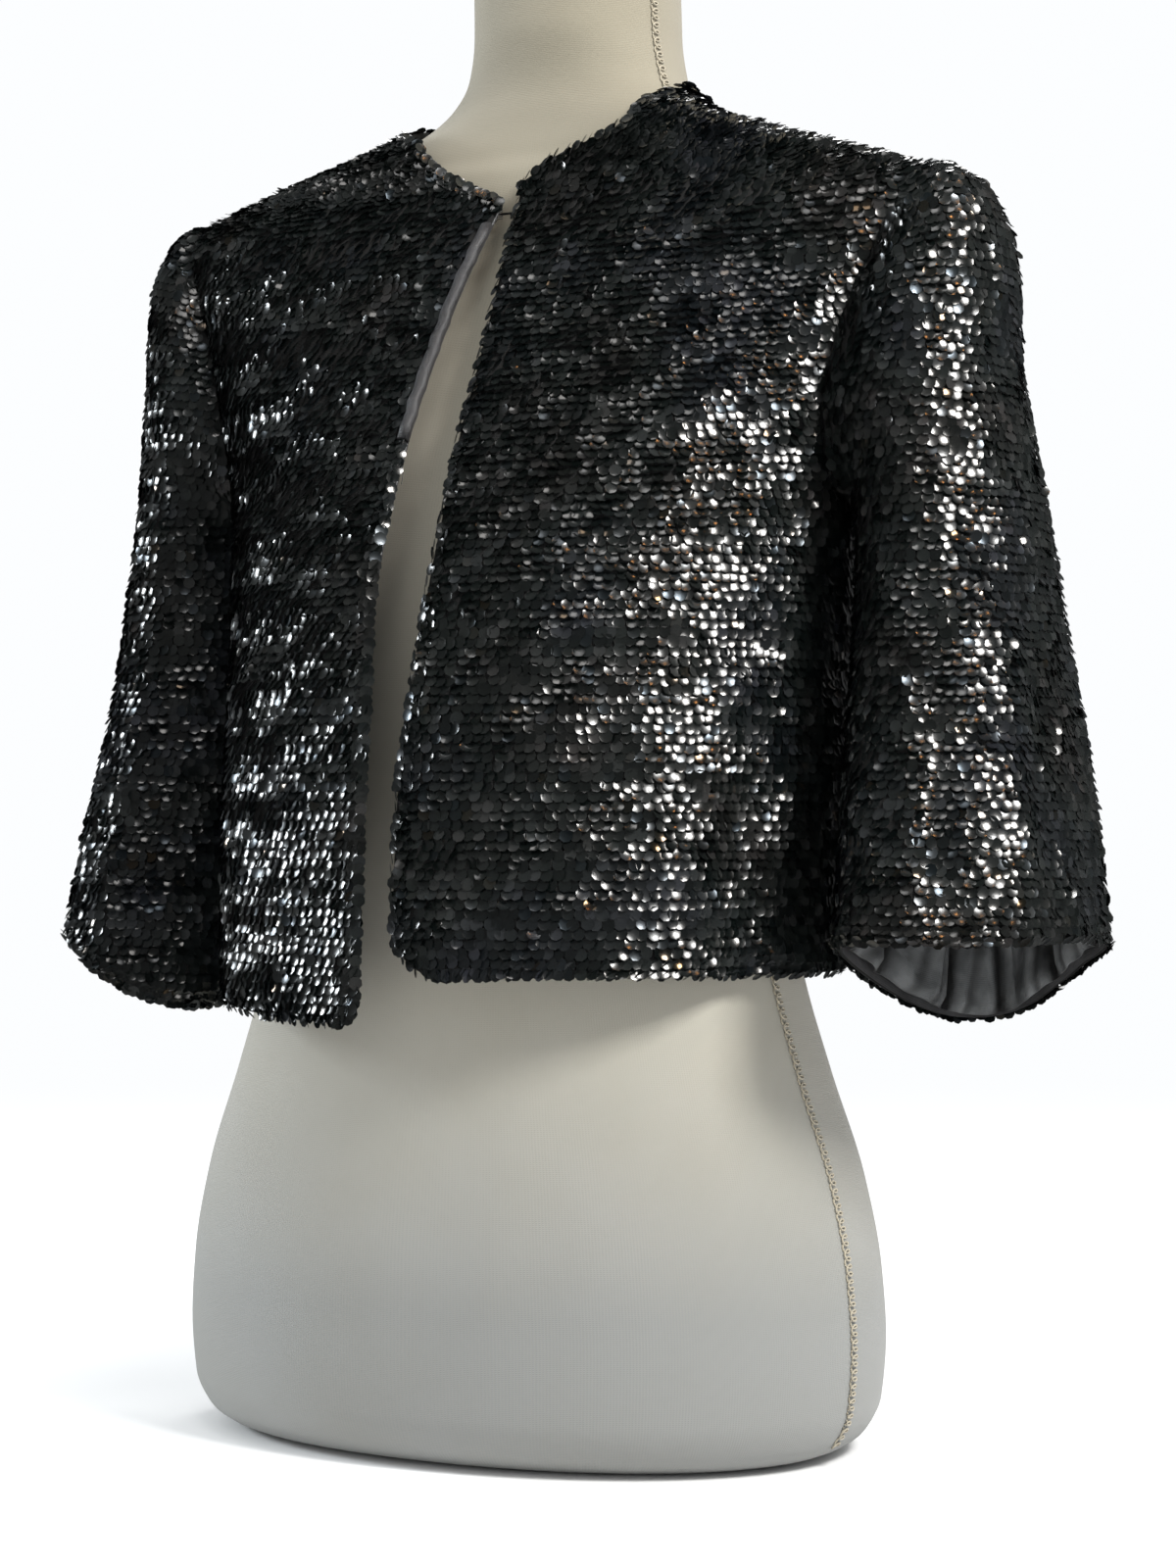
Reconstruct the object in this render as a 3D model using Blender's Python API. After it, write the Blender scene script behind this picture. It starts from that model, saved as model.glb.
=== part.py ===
"""Matador jacket: a cropped, open-fronted sequin jacket with bell sleeves, on a limbless dress form.

Metres, +Z up. The form's flat base is at Z = 0 around the Z axis. The fronts face -Y, and the
wearer's left is +X. Cloth points come from body_points and sleeve_points, and every wall, facing
and lining is made from those points, moved along the cloth's own normal.
"""
import bmesh
import bpy
import numpy as np

# Walls and the gaps between pieces
CLOTH = 0.0020
SATIN = 0.0010
SEAM_GAP = 0.0005
SLEEVE_GAP = 0.0005
LAYER_GAP = 0.0004
SEAT_GAP = 0.0006

# Mesh divisions
EDGE_CORNER_ROWS = 3
EDGE_ROWS = 19
NECK_ROWS = 6
SIDE_ROWS = 10
ARMHOLE_ROWS = 18
PANEL_COLUMNS = 10
CENTRE_ROWS = EDGE_CORNER_ROWS + EDGE_ROWS
CAP_ROWS = 7
TUBE_ROWS = 9
FORM_COLUMNS = 36
GATHER_SPLIT = 2
CORNER_STEPS = 13
PATH_STEPS = 60
BEND_STEPS = 9

# Steps over which a surface's direction is read, in degrees and metres
NORMAL_TURN = 1.5
NORMAL_RISE = 0.0010

# Points closer than this are one point
WELD = 0.000001

# Sides of the body
LEFT, RIGHT = 1, -1
SIDE_NAMES = {LEFT: "left", RIGHT: "right"}

# Outer face of the jacket's body, as level sections. Above the neckline it goes on up the neck.
BODY_COLUMNS = ("height", "half_width", "ridge_y", "front_y", "back_y")
BODY_ROWS = (
    (0.170, 0.1350, 0.004, -0.1350, 0.1060),
    (0.215, 0.1360, 0.004, -0.1340, 0.1070),
    (0.280, 0.1390, 0.006, -0.1300, 0.1085),
    (0.361, 0.1440, 0.008, -0.1130, 0.1105),
    (0.424, 0.1525, 0.011, -0.0880, 0.1120),
    (0.470, 0.1690, 0.013, -0.0640, 0.1100),
    (0.501, 0.1850, 0.015, -0.0480, 0.1065),
    (0.530, 0.2010, 0.016, -0.0330, 0.1010),
    (0.5450, 0.2070, 0.016, -0.0240, 0.0970),
    (0.5520, 0.2030, 0.016, -0.0200, 0.0950),
    (0.5615, 0.1840, 0.016, -0.0150, 0.0925),
    (0.5730, 0.1500, 0.018, -0.0110, 0.0895),
    (0.5850, 0.1120, 0.021, -0.0080, 0.0875),
    (0.5940, 0.0860, 0.025, -0.0060, 0.0870),
    (0.6020, 0.0705, 0.031, -0.0050, 0.0890),
    (0.6110, 0.0615, 0.038, -0.0040, 0.0915),
    (0.6220, 0.0560, 0.044, -0.0035, 0.0940),
    (0.6400, 0.0525, 0.046, -0.0045, 0.0945),
    (0.7000, 0.0515, 0.043, -0.0090, 0.0920),
)
FRONT_POWER = 2.10
BACK_POWER = 2.25

# Free part of the dress form, as level sections of the same kind
FORM_ROWS = (
    (0.000, 0.1360, 0.000, -0.0840, 0.0800),
    (0.003, 0.1480, 0.000, -0.0950, 0.0910),
    (0.010, 0.1575, 0.000, -0.1040, 0.0995),
    (0.024, 0.1640, 0.000, -0.1095, 0.1055),
    (0.050, 0.1660, 0.000, -0.1110, 0.1075),
    (0.080, 0.1640, 0.000, -0.1110, 0.1065),
    (0.120, 0.1560, 0.000, -0.1080, 0.1030),
    (0.165, 0.1405, 0.000, -0.1020, 0.0960),
    (0.210, 0.1270, 0.000, -0.0950, 0.0890),
    (0.250, 0.1200, 0.001, -0.0900, 0.0840),
    (0.290, 0.1200, 0.003, -0.0900, 0.0840),
    (0.340, 0.1280, 0.006, -0.0880, 0.0890),
    (0.390, 0.1370, 0.009, -0.0800, 0.0950),
    (0.430, 0.1430, 0.011, -0.0680, 0.0980),
    (0.470, 0.1500, 0.013, -0.0500, 0.0975),
    (0.505, 0.1600, 0.015, -0.0320, 0.0945),
    (0.530, 0.1680, 0.016, -0.0190, 0.0925),
    (0.548, 0.1720, 0.016, -0.0110, 0.0895),
    (0.558, 0.1710, 0.016, -0.0075, 0.0885),
)
# Level sections of the body that the form's shoulders and neck follow, just inside the cloth
SHOULDER_HEIGHTS = (
    0.5660, 0.5700, 0.5745, 0.5800, 0.5860, 0.5920, 0.5980, 0.6045, 0.6120, 0.6220, 0.6360, 0.6560,
    0.6800,
)
# The form keeps a little further off below the facings, and off the throat above the fronts
FACED_FROM = 0.573
FACED_RUN = 0.010
FACED_EASE = 0.0005
FACED_INSET = CLOTH + LAYER_GAP + SATIN + SEAT_GAP + FACED_EASE
FACED_BACK_COSINE = 0.05
FACED_BACK_RUN = 0.25
FRONT_HOLLOW = 0.0050
FRONT_HOLLOW_TOP = 0.640
FRONT_HOLLOW_RUN = 0.03

# Cut lines of the panels, each as angle from the centre front (180 is the centre back) and height
UNDERARM = (90.0, 0.4200)
SHOULDER_TIP = (90.0, 0.5615)
ARMHOLE_ROWS_FRONT = (
    (79.0, 0.4300),
    (69.5, 0.4560),
    (63.5, 0.4900),
    (60.5, 0.5250),
    (62.5, 0.5490),
    (71.0, 0.5580),
)
ARMHOLE_ROWS_BACK = (
    (101.0, 0.4300),
    (111.0, 0.4600),
    (117.0, 0.4950),
    (119.0, 0.5270),
    (117.5, 0.5490),
    (108.0, 0.5580),
)
NECK_POINT_HEIGHT = {LEFT: 0.6110, RIGHT: 0.6010}
FRONT_NECK_HEIGHT = {LEFT: 0.5640, RIGHT: 0.5560}
BACK_NECK_HEIGHT = 0.6040
NECK_BEND_FRONT = {
    LEFT: ((8.0, 0.26), (29.0, 0.53), (52.0, 0.80)),
    RIGHT: ((12.5, 0.32), (24.0, 0.56), (40.0, 0.77)),
}
NECK_BEND_BACK = ((150.0, 0.05), (118.0, 0.35))

# Front edges: half the open gap at each height, and the rounded lower corner
GAP_COLUMNS = ("height", "left", "right")
GAP_ROWS = (
    (0.180, 0.0080, 0.0100),
    (0.280, 0.0078, 0.0095),
    (0.334, 0.0095, 0.0125),
    (0.361, 0.0105, 0.0160),
    (0.400, 0.0100, 0.0190),
    (0.450, 0.0082, 0.0195),
    (0.501, 0.0070, 0.0155),
    (0.535, 0.0055, 0.0095),
    (0.560, 0.0040, 0.0050),
)
CORNER_RADIUS = {LEFT: 0.022, RIGHT: 0.011}

# Hem height round each side, by angle from the centre front
HEM_COLUMNS = ("angle", "height")
HEM_ROWS = {
    LEFT: ((0.0, 0.2110), (35.0, 0.2140), (90.0, 0.2110), (180.0, 0.2120)),
    RIGHT: ((0.0, 0.1910), (22.0, 0.1925), (90.0, 0.2110), (180.0, 0.2120)),
}

# Soft folds of the body: where each lies, how wide it is, how far out it stands, and its top
BODY_FOLD_FALL = 0.20
BODY_FOLD_COLUMNS = ("side", "angle", "slant", "width", "depth", "top")
BODY_FOLDS = (
    (LEFT, 44.0, 20.0, 13.0, 0.0050, 0.440),
    (LEFT, 72.0, -10.0, 9.0, -0.0045, 0.400),
    (LEFT, 18.0, 0.0, 9.0, -0.0025, 0.380),
    (LEFT, 95.0, 0.0, 24.0, 0.0075, 0.430),
    (LEFT, 138.0, 0.0, 10.0, -0.0040, 0.420),
    (LEFT, 160.0, -5.0, 9.0, 0.0050, 0.430),
    (RIGHT, 38.0, 15.0, 12.0, 0.0055, 0.440),
    (RIGHT, 66.0, -10.0, 14.0, -0.0060, 0.410),
    (RIGHT, 12.0, 0.0, 8.0, -0.0030, 0.360),
    (RIGHT, 108.0, 15.0, 9.0, 0.0040, 0.390),
    (RIGHT, 132.0, 5.0, 10.0, -0.0045, 0.430),
    (RIGHT, 157.0, -5.0, 9.0, 0.0045, 0.410),
)

# Sleeve sections below the cap. The share is how far each has come from the underarm to the cuff:
# at the underarm a section rises outward, and at the cuff it is level with one side drooping.
SLEEVE_COLUMNS = ("height", "centre_x", "centre_y", "half_x", "half_y", "share")
SLEEVE_ROWS = (
    (0.4400, 0.1890, 0.0270, 0.0320, 0.0560, 0.00),
    (0.3950, 0.1925, 0.0310, 0.0355, 0.0620, 0.30),
    (0.3350, 0.1965, 0.0300, 0.0415, 0.0710, 0.62),
    (0.2800, 0.2015, 0.0260, 0.0465, 0.0810, 0.85),
    (0.2280, 0.2050, 0.0210, 0.0500, 0.0890, 1.00),
)
UNDERARM_RISE = 1.00
CUFF_RISE = {LEFT: 0.000, RIGHT: 0.003}
CUFF_DROOP = {LEFT: 0.041, RIGHT: 0.041}
CUFF_DROOP_TURN = {LEFT: 0.66, RIGHT: 0.39}
CUFF_DROOP_POWER = 3
SLEEVE_SHIFT = {LEFT: (0.000, 0.000), RIGHT: (-0.003, 0.008)}
CAP_LIFT = {LEFT: 0.42, RIGHT: 0.34}
CAP_LANDING = 0.34
CAP_RUN_STEP = 0.02

# The way a cap leaves its armhole: outward, more so at the top, forward or back, and up or down
CAP_OUTWARD = 0.65
CAP_OUTWARD_TOP = 0.35
CAP_FORWARD = 0.55
CAP_RISE_TOP = 0.45
CAP_FALL = 0.40

# Soft folds of the sleeves, by turn: 0 outside, 0.25 front, 0.5 body side, 0.75 back
SLEEVE_FOLD_FALL = 0.16
SLEEVE_FOLD_COLUMNS = ("side", "turn", "width", "depth")
SLEEVE_FOLDS = (
    (LEFT, 0.10, 0.045, 0.0035),
    (LEFT, 0.19, 0.035, -0.0040),
    (LEFT, 0.33, 0.040, 0.0030),
    (LEFT, 0.66, 0.045, 0.0040),
    (LEFT, 0.78, 0.040, -0.0045),
    (LEFT, 0.90, 0.045, 0.0040),
    (RIGHT, 0.13, 0.090, -0.0080),
    (RIGHT, 0.17, 0.040, 0.0040),
    (RIGHT, 0.30, 0.040, -0.0035),
    (RIGHT, 0.64, 0.045, 0.0035),
    (RIGHT, 0.76, 0.040, -0.0040),
    (RIGHT, 0.88, 0.045, 0.0045),
)

# Satin parts
LINING_ROWS = 6
LINING_SETBACK = 0.0015
LINING_SEWN_FROM = 0.70
LINING_SEWN_SHARE = 0.25
GATHERS = 13
GATHER_DEPTH = 0.0045
GATHER_DRIFT = 0.35
GATHER_DRIFT_WAVES = 3
FRONT_FACING_COLUMNS = 1
FRONT_FACING_BOTTOM_ROW = 12
NECK_FACING_COLUMNS = 2

# Hook and eye at the neck
WIRE_RADIUS = 0.0006
WIRE_RESOLUTION = 2
HOOK_HEIGHT = 0.5500
HOOK_SETBACK = 0.0066
HOOK_BEND = 0.0016
HOOK_SHANK = 0.0070
HOOK_TIP = 0.0030
EYE_HALF_HEIGHT = 0.0022
EYE_REACH = 0.0065
EYE_BOW = 0.35

MATERIALS = {
    "sequin_cloth": ((0.012, 0.013, 0.014), 0.35, 0.35),
    "black_satin": ((0.020, 0.020, 0.022), 0.45, 0.0),
    "form_jersey": ((0.58, 0.56, 0.48), 0.85, 0.0),
    "black_wire": ((0.03, 0.03, 0.03), 0.40, 0.9),
}


def table(columns, rows):
    """Turn rows under named columns into one array a column."""
    return {name: np.array([row[i] for row in rows], float) for i, name in enumerate(columns)}


def smooth(xs, ys, x):
    """Read a table column at x along a smooth curve that never overshoots its points."""
    secant = np.diff(ys) / np.diff(xs)
    slope = np.zeros(len(xs))
    same_way = secant[1:] * secant[:-1] > 0
    mean = 2 * secant[1:] * secant[:-1] / np.where(same_way, secant[1:] + secant[:-1], 1)
    slope[1:-1] = np.where(same_way, mean, 0)
    slope[0], slope[-1] = secant[0], secant[-1]
    x = np.clip(x, xs[0], xs[-1])
    i = np.clip(np.searchsorted(xs, x, side="right") - 1, 0, len(xs) - 2)
    step = xs[i + 1] - xs[i]
    t = (x - xs[i]) / step
    start = (1 + 2 * t) * (1 - t) ** 2 * ys[i] + t * (1 - t) ** 2 * step * slope[i]
    end = t * t * (3 - 2 * t) * ys[i + 1] - t * t * (1 - t) * step * slope[i + 1]
    return start + end


def ease(t):
    """A step from 0 to 1 with soft ends."""
    t = np.clip(t, 0, 1)
    return t * t * (3 - 2 * t)


def unit(vectors):
    return vectors / np.linalg.norm(vectors, axis=-1, keepdims=True)


def level_section(sections, side, angle, height):
    """Points of a stack of level sections, by angle in degrees from the centre front."""
    half_width, ridge, front, back = (
        smooth(sections["height"], sections[name], height) for name in BODY_COLUMNS[1:])
    across, along = np.sin(np.radians(angle)), np.cos(np.radians(angle))
    depth = np.where(along > 0, ridge - front, back - ridge)
    power = 2 / np.where(along > 0, FRONT_POWER, BACK_POWER)
    x = half_width * np.sign(across) * np.abs(across) ** power
    y = ridge - np.sign(along) * depth * np.abs(along) ** power
    points = np.stack(np.broadcast_arrays(side * x, y, height), axis=-1)
    out = unit(np.stack(np.broadcast_arrays(side * depth * across, -half_width * along, 0.0), -1))
    return points, out


def body_folds(side, angle, height):
    """How far the body's soft folds stand out from its sections."""
    depth = np.zeros(np.broadcast(angle, height).shape)
    for row in BODY_FOLDS:
        fold = dict(zip(BODY_FOLD_COLUMNS, row))
        if fold["side"] == side:
            drop = fold["top"] - height
            middle = fold["angle"] + fold["slant"] * drop
            reach = ease(drop / BODY_FOLD_FALL)
            depth = depth + fold["depth"] * reach * np.exp(-((angle - middle) / fold["width"]) ** 2)
    return depth


def body_points(side, angle, height):
    """Outer face of the jacket's body."""
    points, out = level_section(BODY, side, angle, height)
    return points + body_folds(side, angle, height)[..., None] * out


def body_normals(side, angle, height):
    """Normals of the body's outer face, read from the face itself so that seams agree."""
    turn = body_points(side, angle + NORMAL_TURN, height)
    turn = turn - body_points(side, angle - NORMAL_TURN, height)
    rise = body_points(side, angle, height + NORMAL_RISE)
    rise = rise - body_points(side, angle, height - NORMAL_RISE)
    return side * unit(np.cross(turn, rise))


def through(rows, steps=24):
    """A smooth open path through rows of angle and height."""
    knots = np.array(rows, float)
    knots = np.vstack([2 * knots[0] - knots[1], knots, 2 * knots[-1] - knots[-2]])
    t = np.linspace(0, 1, steps, endpoint=False)[:, None]
    pieces = []
    for a, b, c, d in zip(knots, knots[1:], knots[2:], knots[3:]):
        bend = (2 * a - 5 * b + 4 * c - d) * t ** 2 + (3 * b - a - 3 * c + d) * t ** 3
        pieces.append(b + 0.5 * ((c - a) * t + bend))
    return np.vstack(pieces + [knots[-2:-1]])


def spaced(side, path, count):
    """The path's angles and heights at evenly spaced places on the cloth."""
    points = body_points(side, path[:, 0], path[:, 1])
    length = np.concatenate([[0], np.cumsum(np.linalg.norm(np.diff(points, axis=0), axis=1))])
    at = np.linspace(0, length[-1], count + 1)
    return np.stack([np.interp(at, length, path[:, 0]), np.interp(at, length, path[:, 1])], 1)


def angle_at(height, x):
    """Angle on the front at which a section lies x from the middle."""
    half_width = smooth(BODY["height"], BODY["half_width"], height)
    return np.degrees(np.arcsin((x / half_width) ** (FRONT_POWER / 2)))


def hem_height(side, angle):
    rows = table(HEM_COLUMNS, HEM_ROWS[side])
    return smooth(rows["angle"], rows["height"], angle)


def front_edge(side):
    """Front opening from the hem, round the lower corner and up to the neck corner."""
    radius = CORNER_RADIUS[side]
    bottom = hem_height(side, 0.0)
    turn = np.radians(np.linspace(0, 90, CORNER_STEPS))
    heights = bottom + radius * (1 - np.cos(turn))
    x = smooth(GAP["height"], GAP[SIDE_NAMES[side]], heights) + radius * (1 - np.sin(turn))
    corner = np.stack([angle_at(heights, x), heights], 1)
    heights = np.linspace(bottom + radius, FRONT_NECK_HEIGHT[side], PATH_STEPS)
    edge = angle_at(heights, smooth(GAP["height"], GAP[SIDE_NAMES[side]], heights))
    edge = np.stack([edge, heights], 1)
    return corner, edge


def neckline(side, start, bends):
    """Neckline from the centre to the neck point, bent through shares of its rise."""
    top = NECK_POINT_HEIGHT[side]
    rows = [start] + [(angle, start[1] + share * (top - start[1])) for angle, share in bends]
    return through(rows + [(90.0, top)])


def side_boundary(side, bends):
    """A panel's side seam and armhole, a row of cloth at a time."""
    heights = np.linspace(hem_height(side, 90.0), UNDERARM[1], PATH_STEPS)
    seam = np.stack([np.full(PATH_STEPS, 90.0), heights], 1)
    armhole = through((UNDERARM,) + bends + (SHOULDER_TIP,))
    return np.vstack([spaced(side, seam, SIDE_ROWS), spaced(side, armhole, ARMHOLE_ROWS)[1:]])


def shoulder_seam(side):
    """The seam from the neck point out to the tip, a column of cloth at a time."""
    ridge = np.linspace(NECK_POINT_HEIGHT[side], SHOULDER_TIP[1], PATH_STEPS)
    return spaced(side, np.stack([np.full(PATH_STEPS, 90.0), ridge], 1), PANEL_COLUMNS)


def filled(side, inner, outer, top):
    """Angles and heights over a panel, filled in from its cut lines and the hem."""
    count = len(top)
    u = np.linspace(0, 1, count)[None, :, None]
    v = np.linspace(0, 1, len(inner))[:, None, None]
    hem_angles = np.linspace(inner[0, 0], outer[0, 0], count)
    hem = np.stack([hem_angles, hem_height(side, hem_angles)], 1)
    ruled = (1 - v) * hem[None] + v * top[None] + (1 - u) * inner[:, None] + u * outer[:, None]
    corners = (1 - u) * ((1 - v) * inner[0] + v * inner[-1])
    corners = corners + u * ((1 - v) * outer[0] + v * outer[-1])
    return ruled - corners


def front_grid(side):
    """A front: its opening and neckline inside, its side seam and armhole outside."""
    corner, edge = front_edge(side)
    neck = neckline(side, tuple(edge[-1]), NECK_BEND_FRONT[side])
    inner = np.vstack([
        spaced(side, corner, EDGE_CORNER_ROWS),
        spaced(side, edge, EDGE_ROWS)[1:],
        spaced(side, neck, NECK_ROWS)[1:],
    ])
    return filled(side, inner, side_boundary(side, ARMHOLE_ROWS_FRONT), shoulder_seam(side))


def back_grid(side):
    """Half of the back: its middle line and neckline inside, its side and armhole outside."""
    heights = np.linspace(hem_height(side, 180.0), BACK_NECK_HEIGHT, PATH_STEPS)
    middle = np.stack([np.full(PATH_STEPS, 180.0), heights], 1)
    neck = neckline(side, (180.0, BACK_NECK_HEIGHT), NECK_BEND_BACK)
    inner = np.vstack([spaced(side, middle, CENTRE_ROWS), spaced(side, neck, NECK_ROWS)[1:]])
    return filled(side, inner, side_boundary(side, ARMHOLE_ROWS_BACK), shoulder_seam(side))


def panel(side, angles):
    """Outer points and normals of a panel, with half a seam gap off its seams."""
    points = body_points(side, angles[..., 0], angles[..., 1])
    out = body_normals(side, angles[..., 0], angles[..., 1])
    side_way = unit(points[:, -2] - points[:, -1])
    top_way = unit(points[-2] - points[-1])
    points[:SIDE_ROWS + 1, -1] += 0.5 * SEAM_GAP * side_way[:SIDE_ROWS + 1]
    points[-1] += 0.5 * SEAM_GAP * top_way
    return points, out


def back_panels():
    """Both halves of the one-piece back, sharing their points down the middle."""
    halves = {side: panel(side, back_grid(side)) for side in (LEFT, RIGHT)}
    shared = slice(0, CENTRE_ROWS + 1)
    for left, right in zip(halves[LEFT], halves[RIGHT]):
        middle = 0.5 * (left[shared, 0] + right[shared, 0])
        left[shared, 0] = middle
        right[shared, 0] = middle
    return halves


def tube_normals(grid):
    """Normals of a closed tube of points, row by row, away from its middle."""
    down = np.gradient(grid, axis=0)
    along = np.roll(grid, -1, axis=1) - np.roll(grid, 1, axis=1)
    found = unit(np.cross(along, down))
    away = grid - grid.mean(axis=(0, 1))
    return found if np.sum(found * away) > 0 else -found


def armhole_loop(side):
    """Armhole from the shoulder tip down the front and up the back, with its cloth's normals."""
    front = side_boundary(side, ARMHOLE_ROWS_FRONT)[SIDE_ROWS:]
    back = side_boundary(side, ARMHOLE_ROWS_BACK)[SIDE_ROWS:]
    loop = np.vstack([front[::-1], back[1:-1]])
    return body_points(side, loop[:, 0], loop[:, 1]), body_normals(side, loop[:, 0], loop[:, 1])


def sleeve_section(side, height, turn):
    """Points round the sleeve at a section's height."""
    centre_x, centre_y, half_x, half_y, share = (
        smooth(SLEEVE["height"], SLEEVE[name], height) for name in SLEEVE_COLUMNS[1:])
    shift_x, shift_y = SLEEVE_SHIFT[side]
    rise = UNDERARM_RISE * (1 - share) * half_x * np.cos(2 * np.pi * turn) + CUFF_RISE[side] * share
    droop = (0.5 + 0.5 * np.cos(2 * np.pi * (turn - CUFF_DROOP_TURN[side]))) ** CUFF_DROOP_POWER
    rise = rise - CUFF_DROOP[side] * share ** 2 * droop
    across, along = np.cos(2 * np.pi * turn), np.sin(2 * np.pi * turn)
    fall = ease((SLEEVE["height"][-1] - height) / SLEEVE_FOLD_FALL)
    fold = np.zeros(np.broadcast(height, turn).shape)
    for row in SLEEVE_FOLDS:
        shape = dict(zip(SLEEVE_FOLD_COLUMNS, row))
        if shape["side"] == side:
            bump = np.exp(-((turn - shape["turn"]) / shape["width"]) ** 2)
            fold = fold + fall * shape["depth"] * bump
    x = centre_x + shift_x + (half_x + fold) * across
    y = centre_y + shift_y - (half_y + fold) * along
    return np.stack(np.broadcast_arrays(side * x, y, height + rise), axis=-1)


def sleeve_points(side):
    """Outer face of a sleeve: a cap eased onto the armhole, then a bell down to the cuff."""
    start, out = armhole_loop(side)
    turn = np.arange(len(start)) / len(start)
    top = SLEEVE["height"][-1]
    ring = sleeve_section(side, top, turn)
    run = unit(sleeve_section(side, top - CAP_RUN_STEP, turn) - ring)
    across, along = np.cos(2 * np.pi * turn), np.sin(2 * np.pi * turn)
    outward = side * (CAP_OUTWARD + CAP_OUTWARD_TOP * across)
    lead = unit(np.stack([outward, -CAP_FORWARD * along, CAP_RISE_TOP * across - CAP_FALL], 1))
    start = start + SLEEVE_GAP * unit(lead + out)
    span = np.linalg.norm(ring - start, axis=1, keepdims=True)
    leave, land = start + CAP_LIFT[side] * span * lead, ring - CAP_LANDING * span * run
    rows = []
    for t in np.linspace(0, 1, CAP_ROWS + 1)[:-1]:
        rows.append((1 - t) ** 3 * start + 3 * t * (1 - t) ** 2 * leave
                    + 3 * t * t * (1 - t) * land + t ** 3 * ring)
    for height in np.linspace(top, SLEEVE["height"][0], TUBE_ROWS + 1):
        rows.append(sleeve_section(side, height, turn))
    return np.array(rows)


def wall_faces(rows, columns, closed=False, joined_rows=0):
    """Faces of a wall between two grids stored one after the other, with rims at its free edges.

    The first column has no rim on its joined rows, where the other half of the piece goes on.
    """
    back = rows * columns
    faces = []
    last = columns if closed else columns - 1
    for i in range(rows - 1):
        for j in range(last):
            a, b = i * columns + j, i * columns + (j + 1) % columns
            c, d = b + columns, a + columns
            for face in ((a, b, c), (a, c, d)):
                faces.append(face)
                faces.append(tuple(back + corner for corner in reversed(face)))
    for j in range(last):
        a, b = j, (j + 1) % columns
        faces.append((b, a, back + a, back + b))
        a, b = a + back - columns, b + back - columns
        faces.append((a, b, back + b, back + a))
    if not closed:
        for i in range(rows - 1):
            a, d = i * columns, (i + 1) * columns
            if i >= joined_rows:
                faces.append((a, d, back + d, back + a))
            b, c = a + columns - 1, d + columns - 1
            faces.append((c, b, back + b, back + c))
    return faces


def wall_mesh(name, outer, inner, closed=False):
    """A closed wall between two grids of points."""
    points = np.vstack([outer.reshape(-1, 3), inner.reshape(-1, 3)])
    return solid(name, points, wall_faces(*outer.shape[:2], closed=closed))


def joined_halves(name, halves, joined_rows):
    """One wall from a left and a right half that share the first points of their first column."""
    points, faces = [], []
    for side, (outer, inner) in halves.items():
        block = wall_faces(*outer.shape[:2], joined_rows=joined_rows)
        start = len(points)
        for face in block:
            face = face if side == LEFT else face[::-1]
            faces.append(tuple(start + corner for corner in face))
        points.extend(np.vstack([outer.reshape(-1, 3), inner.reshape(-1, 3)]))
    return solid(name, points, faces)


def solid(name, points, faces):
    """An object from points and faces, with shared points welded and its faces turned outward."""
    mesh = bpy.data.meshes.new(name)
    mesh.from_pydata([tuple(p) for p in points], [], faces)
    shape = bmesh.new()
    shape.from_mesh(mesh)
    bmesh.ops.remove_doubles(shape, verts=shape.verts, dist=WELD)
    bmesh.ops.recalc_face_normals(shape, faces=shape.faces)
    if shape.calc_volume(signed=True) < 0:
        bmesh.ops.reverse_faces(shape, faces=shape.faces)
    shape.to_mesh(mesh)
    shape.free()
    part = bpy.data.objects.new(name, mesh)
    bpy.context.scene.collection.objects.link(part)
    return part


def finish(part, slot):
    """Give a part its own plain material."""
    color, roughness, metallic = MATERIALS[slot]
    material = bpy.data.materials.new(part.name + "_" + slot)
    material.use_nodes = True
    shader = material.node_tree.nodes["Principled BSDF"]
    shader.inputs["Base Color"].default_value = (*color, 1.0)
    shader.inputs["Roughness"].default_value = roughness
    shader.inputs["Metallic"].default_value = metallic
    material.diffuse_color = (*color, 1.0)
    part.data.materials.append(material)


def build_dress_form():
    """Rings up the body and neck, then flat ends. The shoulders follow the inside of the cloth."""
    angle = np.linspace(0, 360, FORM_COLUMNS, endpoint=False)
    rings = [level_section(FORM, LEFT, angle, height)[0] for height in FORM["height"]]
    heights = np.array(SHOULDER_HEIGHTS)[:, None]
    cosine = np.cos(np.radians(angle))
    high = ease((heights - FACED_FROM) / FACED_RUN)
    behind = ease((FACED_BACK_COSINE - cosine) / FACED_BACK_RUN)
    faced = np.maximum(high, behind)
    inset = (CLOTH + SEAT_GAP) * (1 - faced) + FACED_INSET * faced
    throat = np.clip(cosine, 0, 1) ** 2 * ease((FRONT_HOLLOW_TOP - heights) / FRONT_HOLLOW_RUN)
    inset = inset + FRONT_HOLLOW * throat
    out = body_normals(LEFT, angle, heights)
    upper = level_section(BODY, LEFT, angle, heights)[0] - inset[..., None] * out
    rings = np.concatenate([np.array(rings), upper])
    count, columns = rings.shape[:2]
    faces = []
    for i in range(count - 1):
        for j in range(columns):
            a, b = i * columns + j, i * columns + (j + 1) % columns
            faces.append((a, b, b + columns, a + columns))
    faces.append(tuple(range(columns))[::-1])
    faces.append(tuple((count - 1) * columns + j for j in range(columns)))
    rings[-1, :, 2] = rings[-1, :, 2].mean()
    finish(solid("dress_form", rings.reshape(-1, 3), faces), "form_jersey")


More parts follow.
